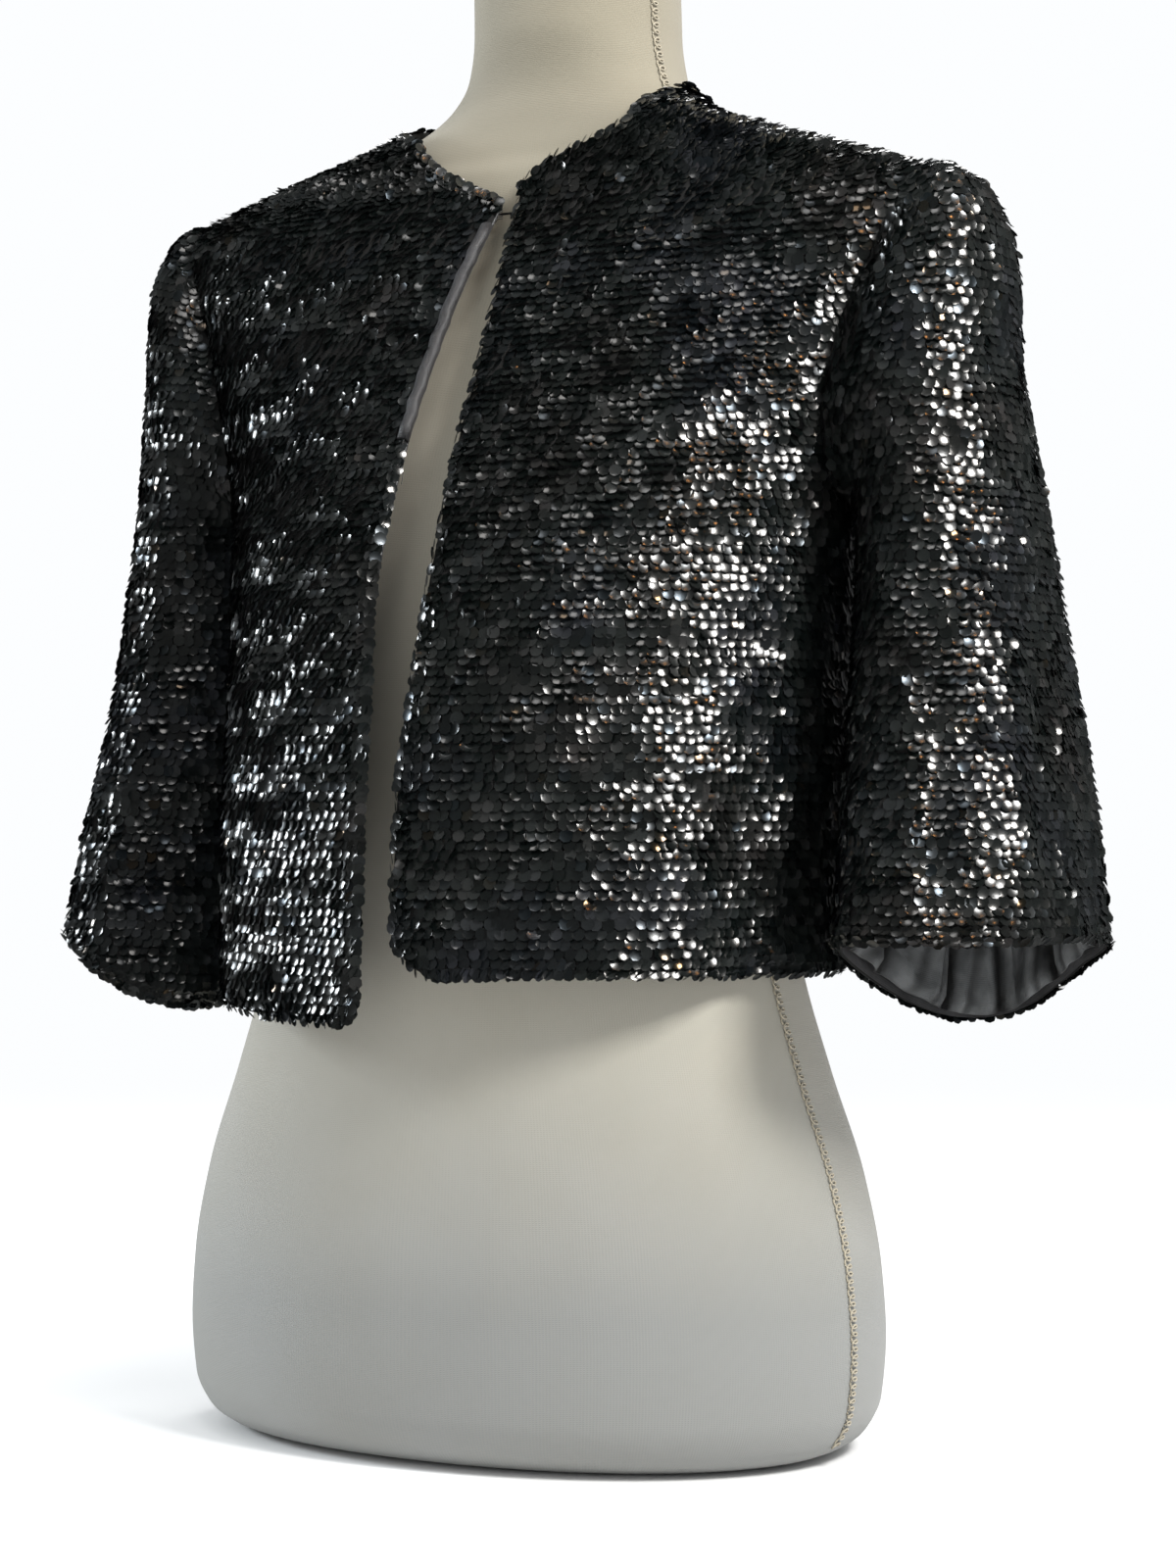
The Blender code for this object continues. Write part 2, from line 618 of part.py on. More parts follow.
def build_panels():
    """Both fronts with their edge facings, and the back with its neck facing."""
    for side in (LEFT, RIGHT):
        outer, out = panel(side, front_grid(side))
        inner = outer - CLOTH * out
        finish(wall_mesh(SIDE_NAMES[side] + "_front", outer, inner), "sequin_cloth")
        strip = (slice(FRONT_FACING_BOTTOM_ROW, CENTRE_ROWS + 1), slice(0, FRONT_FACING_COLUMNS + 1))
        walls = facing_walls(inner[strip], out[strip])
        finish(wall_mesh(SIDE_NAMES[side] + "_front_facing", *walls), "black_satin")
    halves = back_panels()
    back = {side: (outer, outer - CLOTH * out) for side, (outer, out) in halves.items()}
    finish(joined_halves("back", back, CENTRE_ROWS), "sequin_cloth")
    facing = {}
    for side, (outer, out) in halves.items():
        strip = (slice(CENTRE_ROWS - NECK_FACING_COLUMNS, None), slice(0, NECK_FACING_COLUMNS + 1))
        facing[side] = facing_walls(outer[strip] - CLOTH * out[strip], out[strip])
    part = joined_halves("back_neck_facing", facing, NECK_FACING_COLUMNS)
    finish(part, "black_satin")


def facing_walls(cloth, out):
    """Both faces of a satin strip laid inside the cloth, from the cloth's own inner points."""
    outer = cloth - LAYER_GAP * out
    return outer, outer - SATIN * out


def build_sleeves():
    """Both sleeves, and the gathered satin lining that shows inside each cuff."""
    for side in (LEFT, RIGHT):
        outer = sleeve_points(side)
        inner = outer - CLOTH * tube_normals(outer)
        finish(wall_mesh(SIDE_NAMES[side] + "_sleeve", outer, inner, closed=True), "sequin_cloth")
        walls = lining_walls(inner[-LINING_ROWS:])
        lining = wall_mesh(SIDE_NAMES[side] + "_sleeve_lining", *walls, closed=True)
        finish(lining, "black_satin")


def lining_walls(face):
    """Both faces of a sleeve's lining, gathered inside the cloth and drawn in at the cuff."""
    face = np.concatenate([face, face[:, :1]], axis=1)
    columns = face.shape[1] - 1
    at = np.arange(columns * GATHER_SPLIT) / GATHER_SPLIT
    low = at.astype(int)
    share = (at - low)[None, :, None]
    face = face[:, low] * (1 - share) + face[:, low + 1] * share
    step = face[-1] - face[-2]
    length = np.linalg.norm(step, axis=1, keepdims=True)
    face[-1] = face[-1] - LINING_SETBACK / length * step
    away = tube_normals(face)
    turn = at / columns
    drift = GATHER_DRIFT * np.sin(2 * np.pi * GATHER_DRIFT_WAVES * turn)
    wave = 0.5 - 0.5 * np.cos(2 * np.pi * (GATHERS * turn + drift))
    down = np.linspace(0, 1, len(face))[:, None]
    sewn = ease((down - LINING_SEWN_FROM) / (1 - LINING_SEWN_FROM))
    hold = 1 - (1 - LINING_SEWN_SHARE) * sewn
    depth = (LAYER_GAP + GATHER_DEPTH * wave[None] * hold)[..., None]
    return face - depth * away, face - (depth + SATIN) * away


def wire(name, points):
    """A round wire along a smooth route, with closed ends."""
    curve = bpy.data.curves.new(name, "CURVE")
    curve.dimensions = "3D"
    curve.bevel_depth = WIRE_RADIUS
    curve.bevel_resolution = WIRE_RESOLUTION
    curve.use_fill_caps = True
    spline = curve.splines.new("POLY")
    spline.points.add(len(points) - 1)
    for place, point in zip(spline.points, points):
        place.co = (*point, 1.0)
    part = bpy.data.objects.new(name, curve)
    bpy.context.scene.collection.objects.link(part)
    finish(part, "black_wire")


def build_fastener():
    """The hook on the right edge, closed round the bar of the eye on the left edge."""
    front = smooth(BODY["height"], BODY["front_y"], HOOK_HEIGHT)
    y = front + HOOK_SETBACK
    turn = np.radians(np.linspace(-90, 90, BEND_STEPS))
    bend = HOOK_BEND * np.stack([np.cos(turn), np.sin(turn)], 1)
    shank = [(-HOOK_SHANK, y - HOOK_BEND), (-0.5 * HOOK_SHANK, y - HOOK_BEND)]
    tip = [(-HOOK_TIP, y + HOOK_BEND)]
    route = shank + [(x, y + rise) for x, rise in bend] + tip
    wire("hook", [(x, across, HOOK_HEIGHT) for x, across in route])
    turn = np.radians(np.linspace(90, 270, BEND_STEPS))
    bend = EYE_HALF_HEIGHT * np.stack([np.cos(turn), np.sin(turn)], 1)
    route = [(EYE_REACH, EYE_HALF_HEIGHT)] + [(EYE_BOW * x, rise) for x, rise in bend]
    route = route + [(EYE_REACH, -EYE_HALF_HEIGHT)]
    wire("eye", [(x, y, HOOK_HEIGHT + rise) for x, rise in route])


def clear_scene():
    for item in list(bpy.data.objects):
        bpy.data.objects.remove(item, do_unlink=True)


BODY = table(BODY_COLUMNS, BODY_ROWS)
FORM = table(BODY_COLUMNS, FORM_ROWS)
GAP = table(GAP_COLUMNS, GAP_ROWS)
SLEEVE = table(SLEEVE_COLUMNS, SLEEVE_ROWS[::-1])

clear_scene()
build_dress_form()
build_panels()
build_sleeves()
build_fastener()
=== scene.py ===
"""Looks of the matador jacket: sequinned cloth, satin linings, hook and eye, and the jersey form.

Shapes repeat the source's tables and formulas at finer divisions. Every sequin is a cup of its own
on the cloth's face, in rows a fixed distance apart along the cloth, uneven in place, lean and roll.
"""

import bmesh
import bpy
import numpy as np
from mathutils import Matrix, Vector


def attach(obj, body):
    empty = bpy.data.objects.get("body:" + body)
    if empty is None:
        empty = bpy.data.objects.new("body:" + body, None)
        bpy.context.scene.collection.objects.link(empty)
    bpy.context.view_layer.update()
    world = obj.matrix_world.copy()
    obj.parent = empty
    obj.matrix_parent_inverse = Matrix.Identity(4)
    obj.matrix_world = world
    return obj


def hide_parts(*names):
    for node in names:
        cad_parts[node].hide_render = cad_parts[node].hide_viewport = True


# Walls and the gaps between pieces
CLOTH = 0.0020
SATIN = 0.0010
SEAM_GAP = 0.0005
SLEEVE_GAP = 0.0005
LAYER_GAP = 0.0004
SEAT_GAP = 0.0006

# Mesh divisions
EDGE_CORNER_ROWS = 8
EDGE_ROWS = 56
NECK_ROWS = 20
SIDE_ROWS = 30
ARMHOLE_ROWS = 54
PANEL_COLUMNS = 30
CENTRE_ROWS = EDGE_CORNER_ROWS + EDGE_ROWS
CAP_ROWS = 21
TUBE_ROWS = 36
GATHER_SPLIT = 2
CORNER_STEPS = 25
PATH_STEPS = 120
BEND_STEPS = 17
FORM_COLUMNS = 144
LINING_TOP_ROW = CAP_ROWS + 12
FRONT_FACING_COLUMNS = 3
FRONT_FACING_BOTTOM_ROW = 35
NECK_FACING_COLUMNS = 6

# Steps over which a surface's direction is read, in degrees and metres
NORMAL_TURN = 1.5
NORMAL_RISE = 0.0010

# Points closer than this are one point
WELD = 0.000001

# Sides of the body
LEFT, RIGHT = 1, -1
SIDE_NAMES = {LEFT: "left", RIGHT: "right"}

# Outer face of the jacket's body, as level sections. Above the neckline it goes on up the neck.
BODY_COLUMNS = ("height", "half_width", "ridge_y", "front_y", "back_y")
BODY_ROWS = (
    (0.17, 0.135, 0.004, -0.135, 0.106),
    (0.215, 0.136, 0.004, -0.134, 0.107),
    (0.28, 0.139, 0.006, -0.13, 0.1085),
    (0.361, 0.144, 0.008, -0.113, 0.1105),
    (0.424, 0.1525, 0.011, -0.088, 0.112),
    (0.47, 0.169, 0.013, -0.064, 0.11),
    (0.501, 0.185, 0.015, -0.048, 0.1065),
    (0.53, 0.201, 0.016, -0.033, 0.101),
    (0.545, 0.207, 0.016, -0.024, 0.097),
    (0.552, 0.203, 0.016, -0.02, 0.095),
    (0.5615, 0.184, 0.016, -0.015, 0.0925),
    (0.573, 0.15, 0.018, -0.011, 0.0895),
    (0.585, 0.112, 0.021, -0.008, 0.0875),
    (0.594, 0.086, 0.025, -0.006, 0.087),
    (0.602, 0.0705, 0.031, -0.005, 0.089),
    (0.611, 0.0615, 0.038, -0.004, 0.0915),
    (0.622, 0.056, 0.044, -0.0035, 0.094),
    (0.64, 0.0525, 0.046, -0.0045, 0.0945),
    (0.7, 0.0515, 0.043, -0.009, 0.092),
)
FRONT_POWER = 2.1
BACK_POWER = 2.25

# Free part of the dress form, as level sections of the same kind
FORM_ROWS = (
    (0.0, 0.136, 0.0, -0.084, 0.08),
    (0.003, 0.148, 0.0, -0.095, 0.091),
    (0.01, 0.1575, 0.0, -0.104, 0.0995),
    (0.024, 0.164, 0.0, -0.1095, 0.1055),
    (0.05, 0.166, 0.0, -0.111, 0.1075),
    (0.08, 0.164, 0.0, -0.111, 0.1065),
    (0.12, 0.156, 0.0, -0.108, 0.103),
    (0.165, 0.1405, 0.0, -0.102, 0.096),
    (0.21, 0.127, 0.0, -0.095, 0.089),
    (0.25, 0.12, 0.001, -0.09, 0.084),
    (0.29, 0.12, 0.003, -0.09, 0.084),
    (0.34, 0.128, 0.006, -0.088, 0.089),
    (0.39, 0.137, 0.009, -0.08, 0.095),
    (0.43, 0.143, 0.011, -0.068, 0.098),
    (0.47, 0.15, 0.013, -0.05, 0.0975),
    (0.505, 0.16, 0.015, -0.032, 0.0945),
    (0.53, 0.168, 0.016, -0.019, 0.0925),
    (0.548, 0.172, 0.016, -0.011, 0.0895),
    (0.558, 0.171, 0.016, -0.0075, 0.0885),
)
# The form's mesh: heights of its foot, of its free part, and of its shoulders and neck, which
# follow the body's sections just inside the cloth. Each is lowest, highest and how many rings.
FOOT_RINGS = (0.0, 0.024, 13)
FREE_RINGS = (0.03, 0.558, 100)
SHOULDER_RINGS = (0.566, 0.68, 48)
# The form keeps a little further off below the facings, and off the throat above the fronts
FACED_FROM = 0.573
FACED_RUN = 0.01
FACED_EASE = 0.0005
FACED_INSET = CLOTH + LAYER_GAP + SATIN + SEAT_GAP + FACED_EASE
FACED_BACK_COSINE = 0.05
FACED_BACK_RUN = 0.25
FRONT_HOLLOW = 0.005
FRONT_HOLLOW_TOP = 0.64
FRONT_HOLLOW_RUN = 0.03

# Cut lines of the panels, each as angle from the centre front (180 is the centre back) and height
UNDERARM = (90.0, 0.42)
SHOULDER_TIP = (90.0, 0.5615)
ARMHOLE_ROWS_FRONT = (
    (79.0, 0.43),
    (69.5, 0.456),
    (63.5, 0.49),
    (60.5, 0.525),
    (62.5, 0.549),
    (71.0, 0.558),
)
ARMHOLE_ROWS_BACK = (
    (101.0, 0.43),
    (111.0, 0.46),
    (117.0, 0.495),
    (119.0, 0.527),
    (117.5, 0.549),
    (108.0, 0.558),
)
NECK_POINT_HEIGHT = {LEFT: 0.611, RIGHT: 0.6010}
FRONT_NECK_HEIGHT = {LEFT: 0.564, RIGHT: 0.5560}
BACK_NECK_HEIGHT = 0.604
NECK_BEND_FRONT = {
    LEFT: ((8.0, 0.26), (29.0, 0.53), (52.0, 0.8)),
    RIGHT: ((12.5, 0.32), (24.0, 0.56), (40.0, 0.77)),
}
NECK_BEND_BACK = ((150.0, 0.05), (118.0, 0.35))

# Front edges: half the open gap at each height, and the rounded lower corner
GAP_COLUMNS = ("height", "left", "right")
GAP_ROWS = (
    (0.18, 0.008, 0.01),
    (0.28, 0.0078, 0.0095),
    (0.334, 0.0095, 0.0125),
    (0.361, 0.0105, 0.016),
    (0.4, 0.01, 0.019),
    (0.45, 0.0082, 0.0195),
    (0.501, 0.007, 0.0155),
    (0.535, 0.0055, 0.0095),
    (0.56, 0.004, 0.005),
)
CORNER_RADIUS = {LEFT: 0.022, RIGHT: 0.011}

# Hem height round each side, by angle from the centre front
HEM_COLUMNS = ("angle", "height")
HEM_ROWS = {
    LEFT: ((0.0, 0.211), (35.0, 0.214), (90.0, 0.211), (180.0, 0.212)),
    RIGHT: ((0.0, 0.191), (22.0, 0.1925), (90.0, 0.211), (180.0, 0.212)),
}

# Soft folds of the body: where each lies, how wide it is, how far out it stands, and its top
BODY_FOLD_FALL = 0.2
BODY_FOLD_COLUMNS = ("side", "angle", "slant", "width", "depth", "top")
BODY_FOLDS = (
    (LEFT, 44.0, 20.0, 13.0, 0.005, 0.44),
    (LEFT, 72.0, -10.0, 9.0, -0.0045, 0.4),
    (LEFT, 18.0, 0.0, 9.0, -0.0025, 0.38),
    (LEFT, 95.0, 0.0, 24.0, 0.0075, 0.43),
    (LEFT, 138.0, 0.0, 10.0, -0.004, 0.42),
    (LEFT, 160.0, -5.0, 9.0, 0.005, 0.43),
    (RIGHT, 38.0, 15.0, 12.0, 0.0055, 0.44),
    (RIGHT, 66.0, -10.0, 14.0, -0.006, 0.41),
    (RIGHT, 12.0, 0.0, 8.0, -0.003, 0.36),
    (RIGHT, 108.0, 15.0, 9.0, 0.004, 0.39),
    (RIGHT, 132.0, 5.0, 10.0, -0.0045, 0.43),
    (RIGHT, 157.0, -5.0, 9.0, 0.0045, 0.41),
)

# Sleeve sections below the cap. The share is how far each has come from the underarm to the cuff:
# at the underarm a section rises outward, and at the cuff it is level with one side drooping.
SLEEVE_COLUMNS = ("height", "centre_x", "centre_y", "half_x", "half_y", "share")
SLEEVE_ROWS = (
    (0.44, 0.189, 0.027, 0.032, 0.056, 0.0),
    (0.395, 0.1925, 0.031, 0.0355, 0.062, 0.3),
    (0.335, 0.1965, 0.03, 0.0415, 0.071, 0.62),
    (0.28, 0.2015, 0.026, 0.0465, 0.081, 0.85),
    (0.228, 0.205, 0.021, 0.05, 0.089, 1.0),
)
UNDERARM_RISE = 1.0
CUFF_RISE = {LEFT: 0.0, RIGHT: 0.003}
CUFF_DROOP = {LEFT: 0.041, RIGHT: 0.041}
CUFF_DROOP_TURN = {LEFT: 0.66, RIGHT: 0.39}
CUFF_DROOP_POWER = 3
SLEEVE_SHIFT = {LEFT: (0.0, 0.0), RIGHT: (-0.003, 0.008)}
CAP_LIFT = {LEFT: 0.42, RIGHT: 0.34}
CAP_LANDING = 0.34
CAP_RUN_STEP = 0.02

# The way a cap leaves its armhole: outward, more so at the top, forward or back, and up or down
CAP_OUTWARD = 0.65
CAP_OUTWARD_TOP = 0.35
CAP_FORWARD = 0.55
CAP_RISE_TOP = 0.45
CAP_FALL = 0.4

# Soft folds of the sleeves, by turn: 0 outside, 0.25 front, 0.5 body side, 0.75 back
SLEEVE_FOLD_FALL = 0.16
SLEEVE_FOLD_COLUMNS = ("side", "turn", "width", "depth")
SLEEVE_FOLDS = (
    (LEFT, 0.1, 0.045, 0.0035),
    (LEFT, 0.19, 0.035, -0.004),
    (LEFT, 0.33, 0.04, 0.003),
    (LEFT, 0.66, 0.045, 0.004),
    (LEFT, 0.78, 0.04, -0.0045),
    (LEFT, 0.9, 0.045, 0.004),
    (RIGHT, 0.13, 0.09, -0.008),
    (RIGHT, 0.17, 0.04, 0.004),
    (RIGHT, 0.3, 0.04, -0.0035),
    (RIGHT, 0.64, 0.045, 0.0035),
    (RIGHT, 0.76, 0.04, -0.004),
    (RIGHT, 0.88, 0.045, 0.0045),
)

# Satin parts
LINING_SETBACK = 0.0015
LINING_SETBACK_MOST = 0.9
GATHERS = 13
GATHER_DRIFT = 0.35
GATHER_DRIFT_WAVES = 3

# Hook and eye at the neck
WIRE_RADIUS = 0.0006
HOOK_HEIGHT = 0.55
HOOK_SETBACK = 0.0066
HOOK_BEND = 0.0016
HOOK_SHANK = 0.007
HOOK_TIP = 0.003
EYE_HALF_HEIGHT = 0.0022
EYE_REACH = 0.0065
EYE_BOW = 0.35

# Small creases that only the looks have, in the same columns as the folds
BODY_CREASES = (
    (LEFT, 30.0, 30.0, 4.0, -0.0012, 0.33),
    (LEFT, 58.0, 10.0, 5.0, 0.0014, 0.36),
    (LEFT, 84.0, -20.0, 4.0, -0.0014, 0.4),
    (LEFT, 112.0, 10.0, 6.0, 0.0016, 0.42),
    (LEFT, 148.0, 0.0, 5.0, -0.0012, 0.38),
    (LEFT, 171.0, 0.0, 5.0, 0.0012, 0.4),
    (RIGHT, 26.0, 20.0, 4.0, -0.0014, 0.36),
    (RIGHT, 52.0, 0.0, 5.0, 0.0014, 0.38),
    (RIGHT, 82.0, -15.0, 5.0, 0.0015, 0.4),
    (RIGHT, 120.0, 10.0, 5.0, -0.0014, 0.41),
    (RIGHT, 146.0, 5.0, 5.0, 0.0013, 0.39),
)
SLEEVE_CREASES = (
    (LEFT, 0.04, 0.018, -0.0016),
    (LEFT, 0.25, 0.02, -0.0016),
    (LEFT, 0.4, 0.022, -0.0014),
    (LEFT, 0.72, 0.018, 0.0014),
    (LEFT, 0.84, 0.02, -0.0016),
    (RIGHT, 0.06, 0.02, 0.0014),
    (RIGHT, 0.22, 0.018, -0.0016),
    (RIGHT, 0.38, 0.022, 0.0014),
    (RIGHT, 0.7, 0.02, -0.0014),
    (RIGHT, 0.94, 0.02, -0.0016),
)

# Sequins: cups with a flat middle and a raised rim, overlapping in rows that start level
SEQUIN_RADIUS = 0.0029
SEQUIN_FLAT = 0.002
SEQUIN_CUP = 0.00021
SEQUIN_SIDES = 8
SEQUIN_LIFT = 0.0009
SEQUIN_LEAN = 14.0
SEQUIN_ROLL = 6.0
SEQUIN_UNEVEN = 5.5
ROW_UNEVEN = 4.0
SWELL = 5.0
SWELL_LENGTH = 0.024
SWELL_WAVES = 6
SEQUIN_LOOSE_SHARE = 0.06
SEQUIN_LOOSE = 18.0
FRONT_SEED = 11
BACK_SEED = 21
SLEEVE_SEED = 31
SEQUIN_SIZES = (0.95, 1.05)
LEAN_LIMITS = (-8, 58)
ROLL_LIMITS = (-35, 40)
LEAN_LIFT = 0.4
ROW_PITCH = 0.0041
ALONG_PITCH = 0.0045
ALONG_JITTER = 0.0009
ROW_JITTER = 0.0005
RIM_JITTER = 0.0009
BODY_LEVEL = 0.3
SLEEVE_LEVEL = 0.32
GRID_HEIGHTS = (0.17, 0.64, 320)
GRID_TURN_STEPS = 121
GRID_END = 1.001
RIM_PITCH = 0.0043
RIM_TURNS = (0.3, 2.0)
RIM_LIFT = 0.0004
RIM_OUT = 0.0013
RIM_TUCK = 0.3
RIM_SECOND = 0.003

# Stitching on the form's jersey, and thread on the hook and eye
STITCH_WIDTH = 0.0044
STITCH_PITCH = 0.0032
STITCH_LOOP = 0.0015
STITCH_STEPS = 10
STITCH_CLEARANCE = 1.5
STITCH_CROSSING = 0.6
THREAD_RADIUS = 0.00044
THREAD_SIDES = 5
UPRIGHT = 0.9
THREAD_CURVE_STEPS = 6
# Seams of the form: lowest and highest stitch, and at which angles
STITCHED_SEAMS = (
    (0.008, 0.235, (84.0, 276.0)),
    (0.6, 0.677, (75.0,)),
)
FASTENER_THREAD_RADIUS = 0.00022
FASTENER_STITCHES = 7
FASTENER_STITCH_STEP = 0.0007
HOOK_SEWN = 0.0015
EYE_SEWN = 0.0008
# One stitch over the wire: along, across, and up as a share of its place and a rise
FASTENER_STITCH = ((-0.0003, -0.0016, 1.0, 0.0), (0.0016, -0.0024, 1.3, 0.0004), (0.0036, -0.0012, 1.6, 0.0))

# Satin binding and a loose thread on the right front's upper edge
BINDING_HEIGHTS = (0.44, 0.549)
BINDING_FADE = 0.006
BINDING_ANGLE = 0.9
BINDING_WOBBLE = 0.0006
BINDING_WAVES = 7
BINDING_ROUTE = (
    (0.005, -0.0024), (0.0012, -0.0024), (-0.0004, -0.0014), (-0.0004, 0.0002),
    (0.0008, 0.0009), (0.0022, 0.0009), (0.0032, 0.0002),
)
LOOSE_THREAD = ((0.0004, 0.0), (0.0016, 0.002), (0.0022, 0.008), (0.0016, 0.015), (0.0028, 0.021))
LOOSE_THREAD_RADIUS = 0.00018

# Camera: it looks level, from the photo's angle, and the jacket's axis lies left of the middle
CAMERA_AZIMUTH = 29.0
CAMERA_DISTANCE = 1.55
CAMERA_HEIGHT = 0.287
CAMERA_LENS = 78.4
CAMERA_YAW = 0.97
CAMERA_PITCH = 0.23
SCENE_CENTRE = (0.0, 0.0, 0.33)

# Gathered satin inside the cuffs: wide puffs between narrow creases, with small slanting wrinkles
PUFF_DEPTH = 0.0115
PUFF_LOW = 0.45
PUFF_SHARPNESS = 0.5
PUFF_WAVES = 5
PUFF_START = 0.3
PUFF_SLANT = 0.6
PUFF_SLANT_WAVES = 2
PUFF_SLANT_START = 0.15
PUFF_SEWN_FROM = 0.955
PUFF_SEWN_SHARE = 0.6
# Painted shade: the width of the dark band painted along each gather's crease, and how much of it the
# slanting wrinkles get
CREASE_SHADE_WIDTH = 0.3
CRUSH_SHADE = 0.6
CRUSH_WAVES = 23
CRUSH_DRIFT = 2.6
CRUSH_BEND = 0.6
CRUSH_BEND_WAVES = 5
CRUSH_DEPTH = 0.0022

# The crease low on the form's front: it turns as it rises, and fades out below and above
FORM_CREASE_ANGLE = 5.0
FORM_CREASE_DEPTH = 0.0012
FORM_CREASE_TURN = 90
FORM_CREASE_WIDTH = 5.0
FORM_CREASE_LOW = (0.03, 0.05)
FORM_CREASE_HIGH = (0.2, 0.12)

# Colors of the jersey by share of the form's height, partly its own tint and partly painted light and shade,
# of the sequins, of the satins with painted shade for their creases, and of the threads
FORM_HEIGHT = 0.68
# Painted light and shade: the greyer, darker foot and the lighter band at the waist stand for light falling
# on the form, and the yellower neck is partly its own cream tint
JERSEY_TINTS_AND_LIGHT = (
    (0.1, (0.196, 0.205, 0.203)),
    (0.3, (0.35, 0.338, 0.292)),
    (0.45, (0.25, 0.238, 0.201)),
    (0.85, (0.24, 0.218, 0.162)),
)
JERSEY_SOIL = ((0.35, (0.93, 0.92, 0.89)), (0.6, (1.0, 1.0, 1.0)))
JERSEY_LINES = (0.42, 0.38, 0.3)
SEQUIN_TONES = (
    (0.0, (0.002, 0.003, 0.003)),
    (0.45, (0.005, 0.006, 0.006)),
    (0.8, (0.01, 0.011, 0.011)),
    (1.0, (0.022, 0.022, 0.023)),
)
SEQUIN_TINGES = ((0.35, (0.8, 0.86, 1.0)), (0.5, (0.9, 1.0, 0.94)), (0.65, (1.0, 0.92, 0.86)))
SEQUIN_GLINTS = (
    (0.0, (1.0, 0.62, 0.3)),
    (0.035, (1.0, 0.96, 0.92)),
    (0.9, (1.0, 1.0, 1.0)),
    (1.0, (0.72, 0.86, 1.0)),
)
FACING_TONES = ((0.3, (0.012, 0.012, 0.013)), (0.7, (0.034, 0.034, 0.037)))
LINING_TONES = ((0.3, (0.036, 0.039, 0.041)), (0.7, (0.125, 0.132, 0.136)))
# Painted shade: the near-black color painted into the lining's creases
CREASE_SHADE_COLOR = (0.002, 0.002, 0.002)
NET_DARK = (0.004, 0.004, 0.004)
NET_LIGHT = (0.012, 0.013, 0.013)
BEIGE = (0.42, 0.375, 0.28)
BLACK = (0.012, 0.012, 0.012)
WIRE_TONES = ((0.5, (0.02, 0.02, 0.02)), (0.75, (0.16, 0.15, 0.14)))
FLOOR_TONES = ((0.3, (0.88, 0.88, 0.88)), (0.7, (0.92, 0.92, 0.92)))

# Weaves: bands across and along the cloth to a metre, and how uneven they are
NET_WEAVE = (420.0, 420.0, 0.6)
SATIN_WEAVE = (700.0, 350.0, 0.4)
KNIT = (330.0, 400.0, 0.5)
KNIT_SHOWN = (0.12, 0.0)
KNIT_STRENGTH = 0.6

# Noises: scale, detail and roughness
SEQUIN_PATCHES = (16.0,)
SEQUIN_GRAIN = (700.0, 2.0)
SATIN_CLOUDS = (60.0, 4.0)
SATIN_CRUMPLES = (90.0, 4.0)
SATIN_CRUMPLE_SHARE = 14.0
SOIL = (9.0, 5.0)
THREAD_TWIST = (1500.0, 2.0)
THREAD_SHADE = 0.75
WIRE_WEAR = (700.0, 4.0, 0.7)
FLOOR_PATCHES = (3.0,)

# Ranges of roughness, and depths of the fine relief
SEQUIN_ROUGHNESS = (0.14, 0.29)
SATIN_ROUGHNESS = (0.3, 0.5)
WIRE_ROUGHNESS = (0.55, 0.25)
SEQUIN_RELIEF = 0.00004
NET_RELIEF = 0.0002
SATIN_RELIEF = 0.0001
KNIT_RELIEF = 0.00012
THREAD_RELIEF = 0.0001
WIRE_RELIEF = 0.00005

# Floor, sky and lights: name, azimuth, elevation, distance, size, power and color
FLOOR = 12.0
FLOOR_GAP = 0.0003
FLOOR_NEAR = 0.45
FLOOR_FAR = 2.2
SKY_COLOR = (0.975, 0.988, 1.0)
SKY = 0.85
SKY_IN_GLOSS = 0.11
SKY_BEHIND = 1.0
LIGHTS = (
    ("window", 72.0, 39.0, 1.9, 0.52, 44.0, (1.0, 0.99, 0.97)),
    ("side_window", -78.0, 15.0, 1.9, 0.42, 20.0, (0.88, 0.95, 1.0)),
    ("ceiling", 12.0, 74.0, 1.9, 0.56, 4.5, (1.0, 1.0, 1.0)),
    ("warm_lamp", 84.0, 64.0, 1.9, 0.12, 1.6, (1.0, 0.45, 0.14)),
    ("rear", 200.0, 45.0, 2.0, 0.5, 8.0, (1.0, 1.0, 1.0)),
)


def table(columns, rows):
    """Turn rows under named columns into one array a column."""
    return {name: np.array([row[i] for row in rows], float) for i, name in enumerate(columns)}


def smooth(xs, ys, x):
    """Read a table column at x along a smooth curve that never overshoots its points."""
    secant = np.diff(ys) / np.diff(xs)
    slope = np.zeros(len(xs))
    same_way = secant[1:] * secant[:-1] > 0
    mean = 2 * secant[1:] * secant[:-1] / np.where(same_way, secant[1:] + secant[:-1], 1)
    slope[1:-1] = np.where(same_way, mean, 0)
    slope[0], slope[-1] = secant[0], secant[-1]
    x = np.clip(x, xs[0], xs[-1])
    i = np.clip(np.searchsorted(xs, x, side="right") - 1, 0, len(xs) - 2)
    step = xs[i + 1] - xs[i]
    t = (x - xs[i]) / step
    start = (1 + 2 * t) * (1 - t) ** 2 * ys[i] + t * (1 - t) ** 2 * step * slope[i]
    end = t * t * (3 - 2 * t) * ys[i + 1] - t * t * (1 - t) * step * slope[i + 1]
    return start + end


def ease(t):
    """A step from 0 to 1 with soft ends."""
    t = np.clip(t, 0, 1)
    return t * t * (3 - 2 * t)


def unit(vectors):
    return vectors / np.linalg.norm(vectors, axis=-1, keepdims=True)


def xyz(x, y, z):
    """Points from their coordinates, wherever any of these varies."""
    return np.stack(np.broadcast_arrays(x, y, z), axis=-1)


def run_along(points):
    """How far each point lies along its path, for one path or for several side by side."""
    steps = np.linalg.norm(np.diff(points, axis=0), axis=-1)
    return np.concatenate([0 * steps[:1], np.cumsum(steps, axis=0)])


